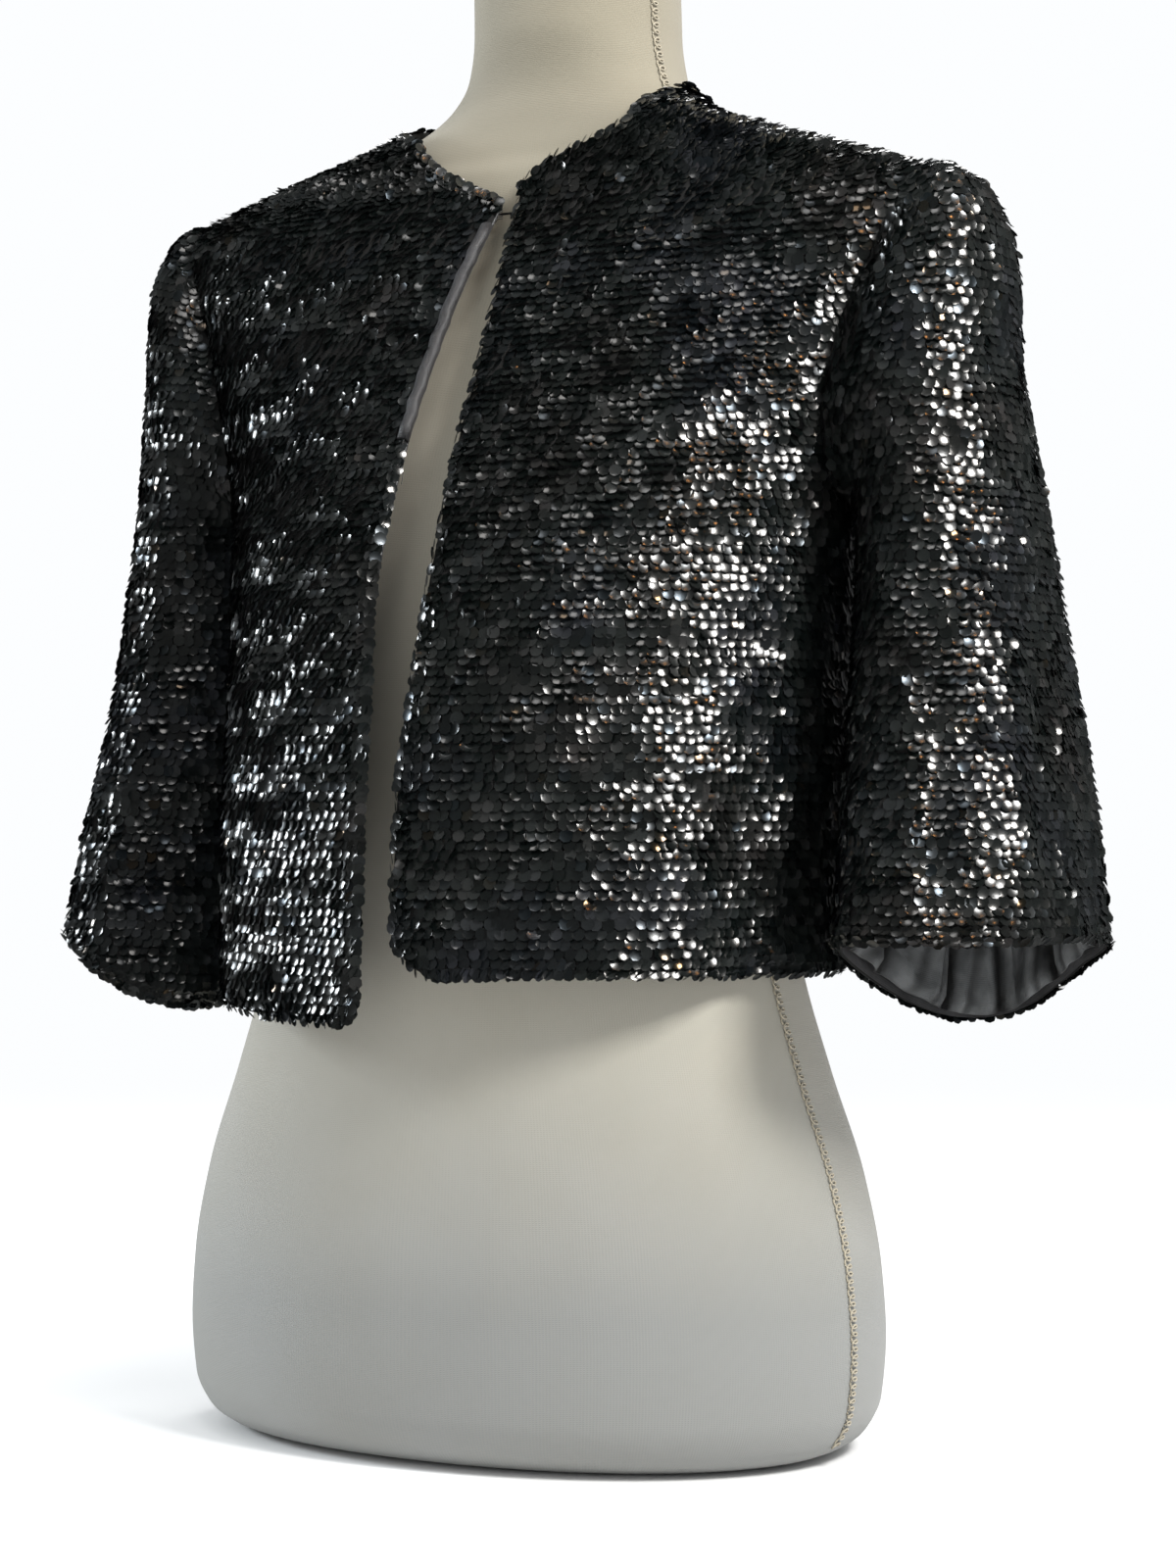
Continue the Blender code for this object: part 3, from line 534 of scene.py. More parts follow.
def level_section(sections, side, angle, height):
    """Points of a stack of level sections, by angle in degrees from the centre front."""
    half_width, ridge, front, back = (
        smooth(sections["height"], sections[name], height) for name in BODY_COLUMNS[1:])
    across, along = np.sin(np.radians(angle)), np.cos(np.radians(angle))
    depth = np.where(along > 0, ridge - front, back - ridge)
    power = 2 / np.where(along > 0, FRONT_POWER, BACK_POWER)
    x = half_width * np.sign(across) * np.abs(across) ** power
    y = ridge - np.sign(along) * depth * np.abs(along) ** power
    return xyz(side * x, y, height), unit(xyz(side * depth * across, -half_width * along, 0.0))


def body_folds(side, angle, height):
    """How far the body's soft folds stand out from its sections."""
    depth = np.zeros(np.broadcast(angle, height).shape)
    for row in BODY_FOLDS + BODY_CREASES:
        fold = dict(zip(BODY_FOLD_COLUMNS, row))
        if fold["side"] == side:
            drop = fold["top"] - height
            middle = fold["angle"] + fold["slant"] * drop
            reach = ease(drop / BODY_FOLD_FALL)
            depth = depth + fold["depth"] * reach * np.exp(-((angle - middle) / fold["width"]) ** 2)
    return depth


def body_points(side, angle, height):
    """Outer face of the jacket's body."""
    points, out = level_section(BODY, side, angle, height)
    return points + body_folds(side, angle, height)[..., None] * out


def body_normals(side, angle, height):
    """Normals of the body's outer face, read from the face itself so that seams agree."""
    turn = body_points(side, angle + NORMAL_TURN, height)
    turn = turn - body_points(side, angle - NORMAL_TURN, height)
    rise = body_points(side, angle, height + NORMAL_RISE)
    rise = rise - body_points(side, angle, height - NORMAL_RISE)
    return side * unit(np.cross(turn, rise))


def through(rows, steps=24):
    """A smooth open path through a few points, in as many steps between two."""
    knots = np.array(rows, float)
    knots = np.vstack([2 * knots[0] - knots[1], knots, 2 * knots[-1] - knots[-2]])
    t = np.linspace(0, 1, steps, endpoint=False)[:, None]
    pieces = []
    for a, b, c, d in zip(knots, knots[1:], knots[2:], knots[3:]):
        bend = (2 * a - 5 * b + 4 * c - d) * t ** 2 + (3 * b - a - 3 * c + d) * t ** 3
        pieces.append(b + 0.5 * ((c - a) * t + bend))
    return np.vstack(pieces + [knots[-2:-1]])


def spaced(side, path, count):
    """The path's angles and heights at evenly spaced places on the cloth."""
    length = run_along(body_points(side, path[:, 0], path[:, 1]))
    at = np.linspace(0, length[-1], count + 1)
    return np.stack([np.interp(at, length, path[:, 0]), np.interp(at, length, path[:, 1])], 1)


def angle_at(height, x):
    """Angle on the front at which a section lies x from the middle."""
    half_width = smooth(BODY["height"], BODY["half_width"], height)
    return np.degrees(np.arcsin((x / half_width) ** (FRONT_POWER / 2)))


def hem_height(side, angle):
    rows = table(HEM_COLUMNS, HEM_ROWS[side])
    return smooth(rows["angle"], rows["height"], angle)


def front_edge(side):
    """Front opening from the hem, round the lower corner and up to the neck corner."""
    radius = CORNER_RADIUS[side]
    bottom = hem_height(side, 0.0)
    turn = np.radians(np.linspace(0, 90, CORNER_STEPS))
    heights = bottom + radius * (1 - np.cos(turn))
    x = smooth(GAP["height"], GAP[SIDE_NAMES[side]], heights) + radius * (1 - np.sin(turn))
    corner = np.stack([angle_at(heights, x), heights], 1)
    heights = np.linspace(bottom + radius, FRONT_NECK_HEIGHT[side], PATH_STEPS)
    edge = angle_at(heights, smooth(GAP["height"], GAP[SIDE_NAMES[side]], heights))
    edge = np.stack([edge, heights], 1)
    return corner, edge


def neckline(side, start, bends):
    """Neckline from the centre to the neck point, bent through shares of its rise."""
    top = NECK_POINT_HEIGHT[side]
    rows = [start] + [(angle, start[1] + share * (top - start[1])) for angle, share in bends]
    return through(rows + [(90.0, top)])


def side_boundary(side, bends):
    """A panel's side seam and armhole, a row of cloth at a time."""
    heights = np.linspace(hem_height(side, 90.0), UNDERARM[1], PATH_STEPS)
    seam = np.stack([np.full(PATH_STEPS, 90.0), heights], 1)
    armhole = through((UNDERARM,) + bends + (SHOULDER_TIP,))
    return np.vstack([spaced(side, seam, SIDE_ROWS), spaced(side, armhole, ARMHOLE_ROWS)[1:]])


def shoulder_seam(side):
    """The seam from the neck point out to the tip, a column of cloth at a time."""
    ridge = np.linspace(NECK_POINT_HEIGHT[side], SHOULDER_TIP[1], PATH_STEPS)
    return spaced(side, np.stack([np.full(PATH_STEPS, 90.0), ridge], 1), PANEL_COLUMNS)


def filled(side, inner, outer, top):
    """Angles and heights over a panel, filled in from its cut lines and the hem."""
    count = len(top)
    u = np.linspace(0, 1, count)[None, :, None]
    v = np.linspace(0, 1, len(inner))[:, None, None]
    hem_angles = np.linspace(inner[0, 0], outer[0, 0], count)
    hem = np.stack([hem_angles, hem_height(side, hem_angles)], 1)
    ruled = (1 - v) * hem[None] + v * top[None] + (1 - u) * inner[:, None] + u * outer[:, None]
    corners = (1 - u) * ((1 - v) * inner[0] + v * inner[-1])
    corners = corners + u * ((1 - v) * outer[0] + v * outer[-1])
    return ruled - corners


def front_grid(side):
    """A front: its opening and neckline inside, its side seam and armhole outside."""
    corner, edge = front_edge(side)
    neck = neckline(side, tuple(edge[-1]), NECK_BEND_FRONT[side])
    inner = np.vstack([
        spaced(side, corner, EDGE_CORNER_ROWS),
        spaced(side, edge, EDGE_ROWS)[1:],
        spaced(side, neck, NECK_ROWS)[1:],
    ])
    return filled(side, inner, side_boundary(side, ARMHOLE_ROWS_FRONT), shoulder_seam(side))


def back_grid(side):
    """Half of the back: its middle line and neckline inside, its side and armhole outside."""
    heights = np.linspace(hem_height(side, 180.0), BACK_NECK_HEIGHT, PATH_STEPS)
    middle = np.stack([np.full(PATH_STEPS, 180.0), heights], 1)
    neck = neckline(side, (180.0, BACK_NECK_HEIGHT), NECK_BEND_BACK)
    inner = np.vstack([spaced(side, middle, CENTRE_ROWS), spaced(side, neck, NECK_ROWS)[1:]])
    return filled(side, inner, side_boundary(side, ARMHOLE_ROWS_BACK), shoulder_seam(side))


def panel(side, angles):
    """Outer points and normals of a panel, with half a seam gap off its seams."""
    points = body_points(side, angles[..., 0], angles[..., 1])
    out = body_normals(side, angles[..., 0], angles[..., 1])
    side_way = unit(points[:, -2] - points[:, -1])
    top_way = unit(points[-2] - points[-1])
    points[:SIDE_ROWS + 1, -1] += 0.5 * SEAM_GAP * side_way[:SIDE_ROWS + 1]
    points[-1] += 0.5 * SEAM_GAP * top_way
    return points, out


def back_panels():
    """Both halves of the one-piece back, sharing their points down the middle."""
    halves = {side: panel(side, back_grid(side)) for side in (LEFT, RIGHT)}
    shared = slice(0, CENTRE_ROWS + 1)
    for left, right in zip(halves[LEFT], halves[RIGHT]):
        middle = 0.5 * (left[shared, 0] + right[shared, 0])
        left[shared, 0] = middle
        right[shared, 0] = middle
    return halves


def tube_normals(grid):
    """Normals of a closed tube of points, row by row, away from its middle."""
    down = np.gradient(grid, axis=0)
    along = np.roll(grid, -1, axis=1) - np.roll(grid, 1, axis=1)
    found = unit(np.cross(along, down))
    away = grid - grid.mean(axis=(0, 1))
    return found if np.sum(found * away) > 0 else -found


def armhole_loop(side):
    """Armhole from the shoulder tip down the front and up the back, with its cloth's normals."""
    front = side_boundary(side, ARMHOLE_ROWS_FRONT)[SIDE_ROWS:]
    back = side_boundary(side, ARMHOLE_ROWS_BACK)[SIDE_ROWS:]
    loop = np.vstack([front[::-1], back[1:-1]])
    return body_points(side, loop[:, 0], loop[:, 1]), body_normals(side, loop[:, 0], loop[:, 1])


def sleeve_section(side, height, turn):
    """Points round the sleeve at a section's height."""
    centre_x, centre_y, half_x, half_y, share = (
        smooth(SLEEVE["height"], SLEEVE[name], height) for name in SLEEVE_COLUMNS[1:])
    shift_x, shift_y = SLEEVE_SHIFT[side]
    rise = UNDERARM_RISE * (1 - share) * half_x * np.cos(2 * np.pi * turn) + CUFF_RISE[side] * share
    droop = (0.5 + 0.5 * np.cos(2 * np.pi * (turn - CUFF_DROOP_TURN[side]))) ** CUFF_DROOP_POWER
    rise = rise - CUFF_DROOP[side] * share ** 2 * droop
    across, along = np.cos(2 * np.pi * turn), np.sin(2 * np.pi * turn)
    fall = ease((SLEEVE["height"][-1] - height) / SLEEVE_FOLD_FALL)
    fold = np.zeros(np.broadcast(height, turn).shape)
    for row in SLEEVE_FOLDS + SLEEVE_CREASES:
        shape = dict(zip(SLEEVE_FOLD_COLUMNS, row))
        if shape["side"] == side:
            bump = np.exp(-((turn - shape["turn"]) / shape["width"]) ** 2)
            fold = fold + fall * shape["depth"] * bump
    x = centre_x + shift_x + (half_x + fold) * across
    y = centre_y + shift_y - (half_y + fold) * along
    return xyz(side * x, y, height + rise)


def sleeve_points(side):
    """Outer face of a sleeve: a cap eased onto the armhole, then a bell down to the cuff."""
    start, out = armhole_loop(side)
    turn = np.arange(len(start)) / len(start)
    top = SLEEVE["height"][-1]
    ring = sleeve_section(side, top, turn)
    run = unit(sleeve_section(side, top - CAP_RUN_STEP, turn) - ring)
    across, along = np.cos(2 * np.pi * turn), np.sin(2 * np.pi * turn)
    outward = side * (CAP_OUTWARD + CAP_OUTWARD_TOP * across)
    lead = unit(np.stack([outward, -CAP_FORWARD * along, CAP_RISE_TOP * across - CAP_FALL], 1))
    start = start + SLEEVE_GAP * unit(lead + out)
    span = np.linalg.norm(ring - start, axis=1, keepdims=True)
    leave, land = start + CAP_LIFT[side] * span * lead, ring - CAP_LANDING * span * run
    rows = []
    for t in np.linspace(0, 1, CAP_ROWS + 1)[:-1]:
        rows.append((1 - t) ** 3 * start + 3 * t * (1 - t) ** 2 * leave
                    + 3 * t * t * (1 - t) * land + t ** 3 * ring)
    for height in np.linspace(top, SLEEVE["height"][0], TUBE_ROWS + 1):
        rows.append(sleeve_section(side, height, turn))
    return np.array(rows)


def facing_walls(cloth, out):
    """Both faces of a satin strip laid inside the cloth, from the cloth's own inner points."""
    outer = cloth - LAYER_GAP * out
    return outer, outer - SATIN * out


def grid_quads(rows, columns, last):
    """Quads of a grid, round it where the last column is joined on, and each corner's place in it."""
    i, j = (part.ravel() for part in np.meshgrid(np.arange(rows - 1), np.arange(last), indexing="ij"))
    corners = ((i, j), (i, j + 1), (i + 1, j + 1), (i + 1, j))
    face = np.stack([row * columns + column % columns for row, column in corners], 1)
    return face, np.stack([np.stack([column, row], 1) for row, column in corners], 1)


def wall_grid(rows, columns, closed, joined_rows, start=0):
    """Quads of a wall between two grids, with a place in the grid for each corner and its side."""
    back = rows * columns
    last = columns if closed else columns - 1
    face, place = grid_quads(rows, columns, last)
    quads = [face, back + face[:, ::-1]]
    places = [place, place[:, ::-1]]
    sides = [np.zeros(len(face), int), np.ones(len(face), int)]

    def rim(a, b, place_a, place_b):
        quads.append(np.stack([a, b, back + b, back + a], 1))
        places.append(np.stack([place_a, place_b, place_b, place_a], 1))
        sides.append(np.zeros(len(a), int))

    j = np.arange(last)
    for row in (0, rows - 1):
        rim(row * columns + j, row * columns + (j + 1) % columns,
            np.stack([j, 0 * j + row], 1), np.stack([j + 1, 0 * j + row], 1))
    if not closed:
        for column, first in ((0, joined_rows), (columns - 1, 0)):
            i = np.arange(first, rows - 1)
            rim(i * columns + column, (i + 1) * columns + column,
                np.stack([0 * i + column, i], 1), np.stack([0 * i + column, i + 1], 1))
    return start + np.concatenate(quads), np.concatenate(places), np.concatenate(sides)


def cloth_piece(name, walls, materials, closed=False, joined_rows=0, crease_shade=None):
    """One closed cloth piece from its walls, with UVs in metres and the lining side's own material.

    Crease shade says how deep in a fold each point of one face lies, for shade painted into the cloth's
    color.
    """
    points, quads, uvs, sides = [], [], [], []
    for outer, inner in walls:
        rows, columns = outer.shape[:2]
        face, place, side = wall_grid(rows, columns, closed, joined_rows, sum(map(len, points)))
        across = np.linalg.norm(np.diff(outer, axis=1), axis=2).mean()
        along = np.linalg.norm(np.diff(outer, axis=0), axis=2).mean()
        points.append(np.vstack([outer.reshape(-1, 3), inner.reshape(-1, 3)]))
        quads.append(face)
        uvs.append(place * (across, along))
        sides.append(side)
    piece = mesh_piece(name, np.vstack(points), np.concatenate(quads), materials)
    mesh = piece.data
    lay_uv(mesh, np.concatenate(uvs))
    if crease_shade is not None:
        # Painted shade: the crease attribute says how dark each point is painted, deep in a fold
        layer = mesh.attributes.new("crease", "FLOAT", "POINT")
        layer.data.foreach_set("value", np.tile(crease_shade.ravel(), 2))
    mesh.polygons.foreach_set("material_index", np.concatenate(sides) * (len(materials) > 1))
    weld(mesh)
    return piece


def lay_uv(mesh, uvs):
    mesh.uv_layers.new(name="cloth").data.foreach_set("uv", uvs.ravel())


def placed(name, data):
    """A new object of this data, in the scene."""
    made = bpy.data.objects.new(name, data)
    bpy.context.scene.collection.objects.link(made)
    return made


def mesh_piece(name, points, faces, materials):
    """A smooth-shaded mesh object that rides on the part's one body."""
    mesh = bpy.data.meshes.new(name)
    mesh.from_pydata(points.tolist(), [], faces if isinstance(faces, list) else faces.tolist())
    for material in materials:
        mesh.materials.append(material)
    mesh.shade_smooth()
    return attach(placed(name, mesh), "root")


def weld(mesh):
    """Join points that lie on each other and turn the faces outward."""
    shape = bmesh.new()
    shape.from_mesh(mesh)
    bmesh.ops.remove_doubles(shape, verts=shape.verts, dist=WELD)
    bmesh.ops.recalc_face_normals(shape, faces=shape.faces)
    if shape.calc_volume(signed=True) < 0:
        bmesh.ops.reverse_faces(shape, faces=shape.faces)
    shape.to_mesh(mesh)
    shape.free()


def sample(grid, row, column):
    """Points of a grid at fractional rows and columns."""
    row = np.clip(row, 0, len(grid) - GRID_END)
    column = np.clip(column, 0, grid.shape[1] - GRID_END)
    i, j = row.astype(int), column.astype(int)
    u, v = (row - i)[:, None], (column - j)[:, None]
    low = grid[i, j] * (1 - v) + grid[i, j + 1] * v
    high = grid[i + 1, j] * (1 - v) + grid[i + 1, j + 1] * v
    return low * (1 - u) + high * u


def sequin_places(grid, level, random, closed=False):
    """Rows and columns of a grid at which sequins sit, and the extra lean of each one's row.

    A grid's columns run up the cloth. Its rows of sequins are level at the given height.
    """
    rows, columns = grid.shape[:2]
    length = run_along(grid)
    lower = slice(0, rows * 2 // 3)
    zero = [np.interp(level, grid[lower, j, 2], length[lower, j]) for j in range(columns)]
    length = length - zero
    rows_in_a_metre = rows / np.ptp(length, axis=0).mean()
    numbers = np.arange(columns)
    found = []
    for row in range(int(length.min() / ROW_PITCH), int(length.max() / ROW_PITCH) + 1):
        up = row * ROW_PITCH
        at = np.array([np.interp(up, length[:, j], np.arange(rows)) for j in numbers])
        line = sample(grid, at, numbers.astype(float))
        run = run_along(line)
        pitch = ALONG_PITCH
        if closed:
            pitch = run[-1] / max(1, round(run[-1] / ALONG_PITCH))
        along = np.arange(pitch * random.random(), run[-1], pitch)
        along = along + random.uniform(-ALONG_JITTER, ALONG_JITTER, len(along))
        column = np.interp(along, run, numbers)
        inside = (np.interp(column, numbers, length[0]) <= up)
        inside &= (np.interp(column, numbers, length[-1]) >= up)
        shift = rows_in_a_metre * random.uniform(-ROW_JITTER, ROW_JITTER, len(along))
        strung = np.full(len(along), ROW_UNEVEN * random.standard_normal())
        found.append(np.stack([np.interp(column, numbers, at) + shift, column, strung], 1)[inside])
    return np.concatenate(found)


def inside_outline(outline, points):
    """Which points lie inside a closed outline, both as angle and height."""
    inside = np.zeros(len(points), bool)
    x, y = points[:, 0], points[:, 1]
    for (x0, y0), (x1, y1) in zip(outline, np.roll(outline, -1, axis=0)):
        if y0 != y1:
            crosses = ((y0 > y) != (y1 > y)) & (x < (x1 - x0) * (y - y0) / (y1 - y0) + x0)
            inside ^= crosses
    return inside


def turned(vectors, axes, degrees):
    """Vectors turned round their own axes."""
    angle = np.radians(degrees)[:, None]
    cross = np.cross(axes, vectors)
    along = axes * np.sum(axes * vectors, axis=1, keepdims=True)
    return vectors * np.cos(angle) + cross * np.sin(angle) + along * (1 - np.cos(angle))


def swell(points, random):
    """A slow uneven tilt over the cloth, alike in neighbours, so that sparkles come in clusters."""
    waves = unit(random.standard_normal((SWELL_WAVES, 3))) * 2 * np.pi / SWELL_LENGTH
    phases = random.uniform(0, 2 * np.pi, SWELL_WAVES)
    return SWELL * np.sqrt(2 / SWELL_WAVES) * np.sin(points @ waves.T + phases).sum(axis=1)


def leaned(centres, out, down, strung, random):
    """Frames of scale-like sequins: lower rims stand out, and each tucks under its neighbour."""
    count = len(centres)
    out = unit(out)
    down = unit(down - out * np.sum(out * down, axis=1, keepdims=True))
    across = np.cross(down, out)
    loose = random.random(count) < SEQUIN_LOOSE_SHARE
    spread = np.where(loose, SEQUIN_LOOSE, SEQUIN_UNEVEN)
    lean = SEQUIN_LEAN + strung + swell(centres, random) + spread * random.standard_normal(count)
    roll = SEQUIN_ROLL + swell(centres, random) + spread * random.standard_normal(count)
    lean, roll = np.clip(lean, *LEAN_LIMITS), np.clip(roll, *ROLL_LIMITS)
    out, down = turned(out, across, lean), turned(down, across, lean)
    out, across = turned(out, down, roll), turned(across, down, roll)
    lift = SEQUIN_LIFT + LEAN_LIFT * SEQUIN_RADIUS * np.abs(np.sin(np.radians(lean - SEQUIN_LEAN)))
    return centres, lift, out, down, across


def sequin_piece(name, frames, random):
    """All sequins of a piece as one mesh of shallow cups."""
    centres, lift, normal, out, down, across = frames
    count = len(centres)
    turn = 2 * np.pi * (np.arange(SEQUIN_SIDES) / SEQUIN_SIDES)
    turn = turn[None] + random.uniform(0, 2 * np.pi / SEQUIN_SIDES, count)[:, None]
    size = random.uniform(*SEQUIN_SIZES, count)[:, None, None]
    around = np.cos(turn)[..., None] * across[:, None] + np.sin(turn)[..., None] * down[:, None]
    rings = []
    for radius, height in ((SEQUIN_RADIUS, 0.0), (SEQUIN_FLAT, -SEQUIN_CUP)):
        ring = radius * around
        rings.append(ring * size + height * out[:, None])
    base = (centres + lift[:, None] * normal)[:, None]
    points = (base + np.concatenate(rings, axis=1)).reshape(-1, 3)
    step = np.arange(SEQUIN_SIDES)
    after = (step + 1) % SEQUIN_SIDES
    rim = np.stack([step, after, SEQUIN_SIDES + after, SEQUIN_SIDES + step], 1)
    start = 2 * SEQUIN_SIDES * np.arange(count)[:, None, None]
    faces = (start + rim[None]).reshape(-1, 4).tolist()
    faces += (start[:, 0] + SEQUIN_SIDES + step[None]).tolist()
    piece = mesh_piece(name, points, faces, [SEQUIN])
    return piece


def rim_frames(paths, random):
    """Frames of sequins along free edges, from paths of points, normals and ways out of the cloth.

    One row stands out over the edge, turned to any side. A second one fills in behind it.
    """
    found = []
    for points, normals, outward in paths:
        run = run_along(points)
        for first in (True, False):
            along = np.arange(0.5 * RIM_PITCH, run[-1], RIM_PITCH)
            along = along + random.uniform(-RIM_JITTER, RIM_JITTER, len(along))
            centre, normal, way = (np.stack([np.interp(along, run, part[:, k]) for k in range(3)], 1)
                                   for part in (points, normals, outward))
            normal, way = unit(normal), unit(way)
            chance = random.uniform(0, 1, (len(along), 1))
            turn = RIM_TURNS[0] + (RIM_TURNS[1] - RIM_TURNS[0]) * chance ** 2 if first else RIM_TURNS[0]
            face = unit(normal + turn * way)
            down = unit(way - face * np.sum(face * way, axis=1, keepdims=True))
            lean = SEQUIN_UNEVEN * random.standard_normal(len(along))
            face, down = turned(face, np.cross(down, face), lean), turned(down, np.cross(down, face), lean)
            out = RIM_OUT * random.uniform(0, 1, (len(along), 1)) if first else -RIM_SECOND
            centre = centre + out * way - RIM_TUCK * SEQUIN_RADIUS * down
            found.append((centre, np.full(len(along), RIM_LIFT), face, face, down, np.cross(down, face)))
    return found


def joined_frames(sets):
    return [np.concatenate([frames[k] for frames in sets]) for k in range(6)]


def bare_width(side, cut, height):
    """Angle of the strip beside the right front's edge that its satin binding covers."""
    if side == LEFT or cut[0, 0, 0] > 90:
        return 0 * height
    low, high = BINDING_HEIGHTS
    return BINDING_ANGLE * (ease((height - low) / BINDING_FADE) * ease((high - height) / BINDING_FADE))


def panel_sequins(name, side, cut, edges, seed):
    """Sequins of a body panel, inside its cut outline, and along its free edges."""
    random = np.random.default_rng(seed)
    inner, outer = cut[0, 0, 0], cut[0, -1, 0]
    angles = np.linspace(180.0 if inner > 90 else 0.0, outer, GRID_TURN_STEPS)
    heights = np.linspace(*GRID_HEIGHTS)
    grid = body_points(side, angles[None], heights[:, None])
    places = sequin_places(grid, BODY_LEVEL, random)
    height = np.interp(places[:, 0], np.arange(len(heights)), heights)
    angle = np.interp(places[:, 1], np.arange(len(angles)), angles)
    outline = np.concatenate([cut[:, 0], cut[-1], cut[::-1, -1], cut[0, ::-1]])
    bare = bare_width(side, cut, height)
    keep = inside_outline(outline, np.stack([angle - bare, height], 1))
    angle, height, strung = angle[keep], height[keep], places[keep, 2]
    points = body_points(side, angle, height)
    normals = body_normals(side, angle, height)
    down = body_points(side, angle, height - NORMAL_RISE) - points
    centres, lift, out, down, across = leaned(points, normals, down, strung, random)
    sets = [(centres, lift, normals, out, down, across)] + rim_frames(edges, random)
    return sequin_piece(name, joined_frames(sets), random)


def sleeve_sequins(name, grid, normals, seed):
    """Sequins of a sleeve, from its grid with the cuff as the first row, and round its cuff."""
    random = np.random.default_rng(seed)
    grid = np.concatenate([grid, grid[:, :1]], axis=1)
    normals = np.concatenate([normals, normals[:, :1]], axis=1)
    places = sequin_places(grid, SLEEVE_LEVEL, random, closed=True)
    row, column, strung = places.T
    points = sample(grid, row, column)
    lower = sample(grid, row - 0.5, column)
    upper = sample(grid, row + 0.5, column)
    normal = unit(sample(normals, row, column))
    centres, lift, out, down, across = leaned(points, normal, lower - upper, strung, random)
    cuff = (grid[0], normals[0], grid[0] - grid[1])
    sets = [(centres, lift, normal, out, down, across)] + rim_frames([cuff], random)
    return sequin_piece(name, joined_frames(sets), random)


def feed(tree, source, socket):
    """Link another node's output to a socket, or set the socket's own number or color."""
    if isinstance(source, bpy.types.NodeSocket):
        tree.links.new(source, socket)
    else:
        socket.default_value = (*source, 1.0) if isinstance(source, tuple) else source


def set_up(tree, node, **values):
    """Give a node values, or links from other nodes, by input or property name."""
    for name, value in values.items():
        shown = name.replace("_", " ")
        if shown in node.inputs:
            feed(tree, value, node.inputs[shown])
        else:
            setattr(node, name, value)
    return node


def add_node(tree, kind, **values):
    return set_up(tree, tree.nodes.new("ShaderNode" + kind), **values)


def new_material(name, **values):
    """A material, its node tree, and its shader with these values."""
    material = bpy.data.materials.new(name)
    material.use_nodes = True
    tree = material.node_tree
    return material, tree, set_up(tree, tree.nodes["Principled BSDF"], **values)


def coordinates(tree, kind):
    return add_node(tree, "TexCoord").outputs[kind]


def color_ramp(tree, source, stops):
    """A ramp of colors over a value."""
    ramp = add_node(tree, "ValToRGB", Fac=source)
    while len(ramp.color_ramp.elements) < len(stops):
        ramp.color_ramp.elements.new(0.5)
    for element, (place, color) in zip(ramp.color_ramp.elements, stops):
        element.position = place
        element.color = (*color, 1.0)
    return ramp.outputs["Color"]


def ranged(tree, source, low, high):
    """A value from 0 to 1 spread between two others."""
    return add_node(tree, "MapRange", Value=source, To_Min=low, To_Max=high).outputs["Result"]


def bumped(tree, shader, height, distance, strength=1.0):
    bump = add_node(tree, "Bump", Strength=strength, Distance=distance, Height=height)
    set_up(tree, shader, Normal=bump.outputs["Normal"])


def mixed(tree, factor, first, second, blend="MIX"):
    """Two colors mixed by a factor."""
    made = add_node(tree, "Mix", data_type="RGBA", blend_type=blend)
    for source, socket in ((factor, 0), (first, 6), (second, 7)):
        feed(tree, source, made.inputs[socket])
    return made.outputs[2]


def maths(tree, operation, first, second):
    made = add_node(tree, "Math", operation=operation)
    for source, socket in zip((first, second), made.inputs):
        feed(tree, source, socket)
    return made.outputs[0]


def noise(tree, where, scale, detail=3.0, rough=0.5):
    made = add_node(tree, "TexNoise", Vector=where, Scale=scale, Detail=detail, Roughness=rough)
    return made.outputs["Fac"]


def weave(tree, across, along, distortion):
    """Crossed bands over the cloth, as in a weave or a knit."""
    where = coordinates(tree, "UV")
    made = []
    for direction, scale in (("X", across), ("Y", along)):
        wave = add_node(tree, "TexWave", Vector=where, Scale=scale, Distortion=distortion)
        wave.bands_direction = direction
        made.append(wave.outputs["Fac"])
    return maths(tree, "MULTIPLY", *made)


def sequin_material():
    """Glossy charcoal cups, each a little different, with a few colored glints."""
    material, tree, shader = new_material("sequins", IOR=1.62)
    each = add_node(tree, "NewGeometry").outputs["Random Per Island"]
    again = add_node(tree, "TexWhiteNoise", noise_dimensions="1D", W=each).outputs["Value"]
    place = coordinates(tree, "Object")
    tinge = color_ramp(tree, noise(tree, place, *SEQUIN_PATCHES), SEQUIN_TINGES)
    color = mixed(tree, 1.0, color_ramp(tree, each, SEQUIN_TONES), tinge, "MULTIPLY")
    glint = color_ramp(tree, again, SEQUIN_GLINTS)
    rough = ranged(tree, again, *SEQUIN_ROUGHNESS)
    set_up(tree, shader, Base_Color=color, Roughness=rough, Specular_Tint=glint)
    bumped(tree, shader, noise(tree, place, *SEQUIN_GRAIN), SEQUIN_RELIEF)
    return material


def ground_material():
    """Black net and cloth between the sequins."""
    material, tree, shader = new_material("sequin_ground", Roughness=0.9, Sheen_Weight=0.04)
    net = weave(tree, *NET_WEAVE)
    set_up(tree, shader, Base_Color=mixed(tree, net, NET_DARK, NET_LIGHT))
    bumped(tree, shader, net, NET_RELIEF)
    return material


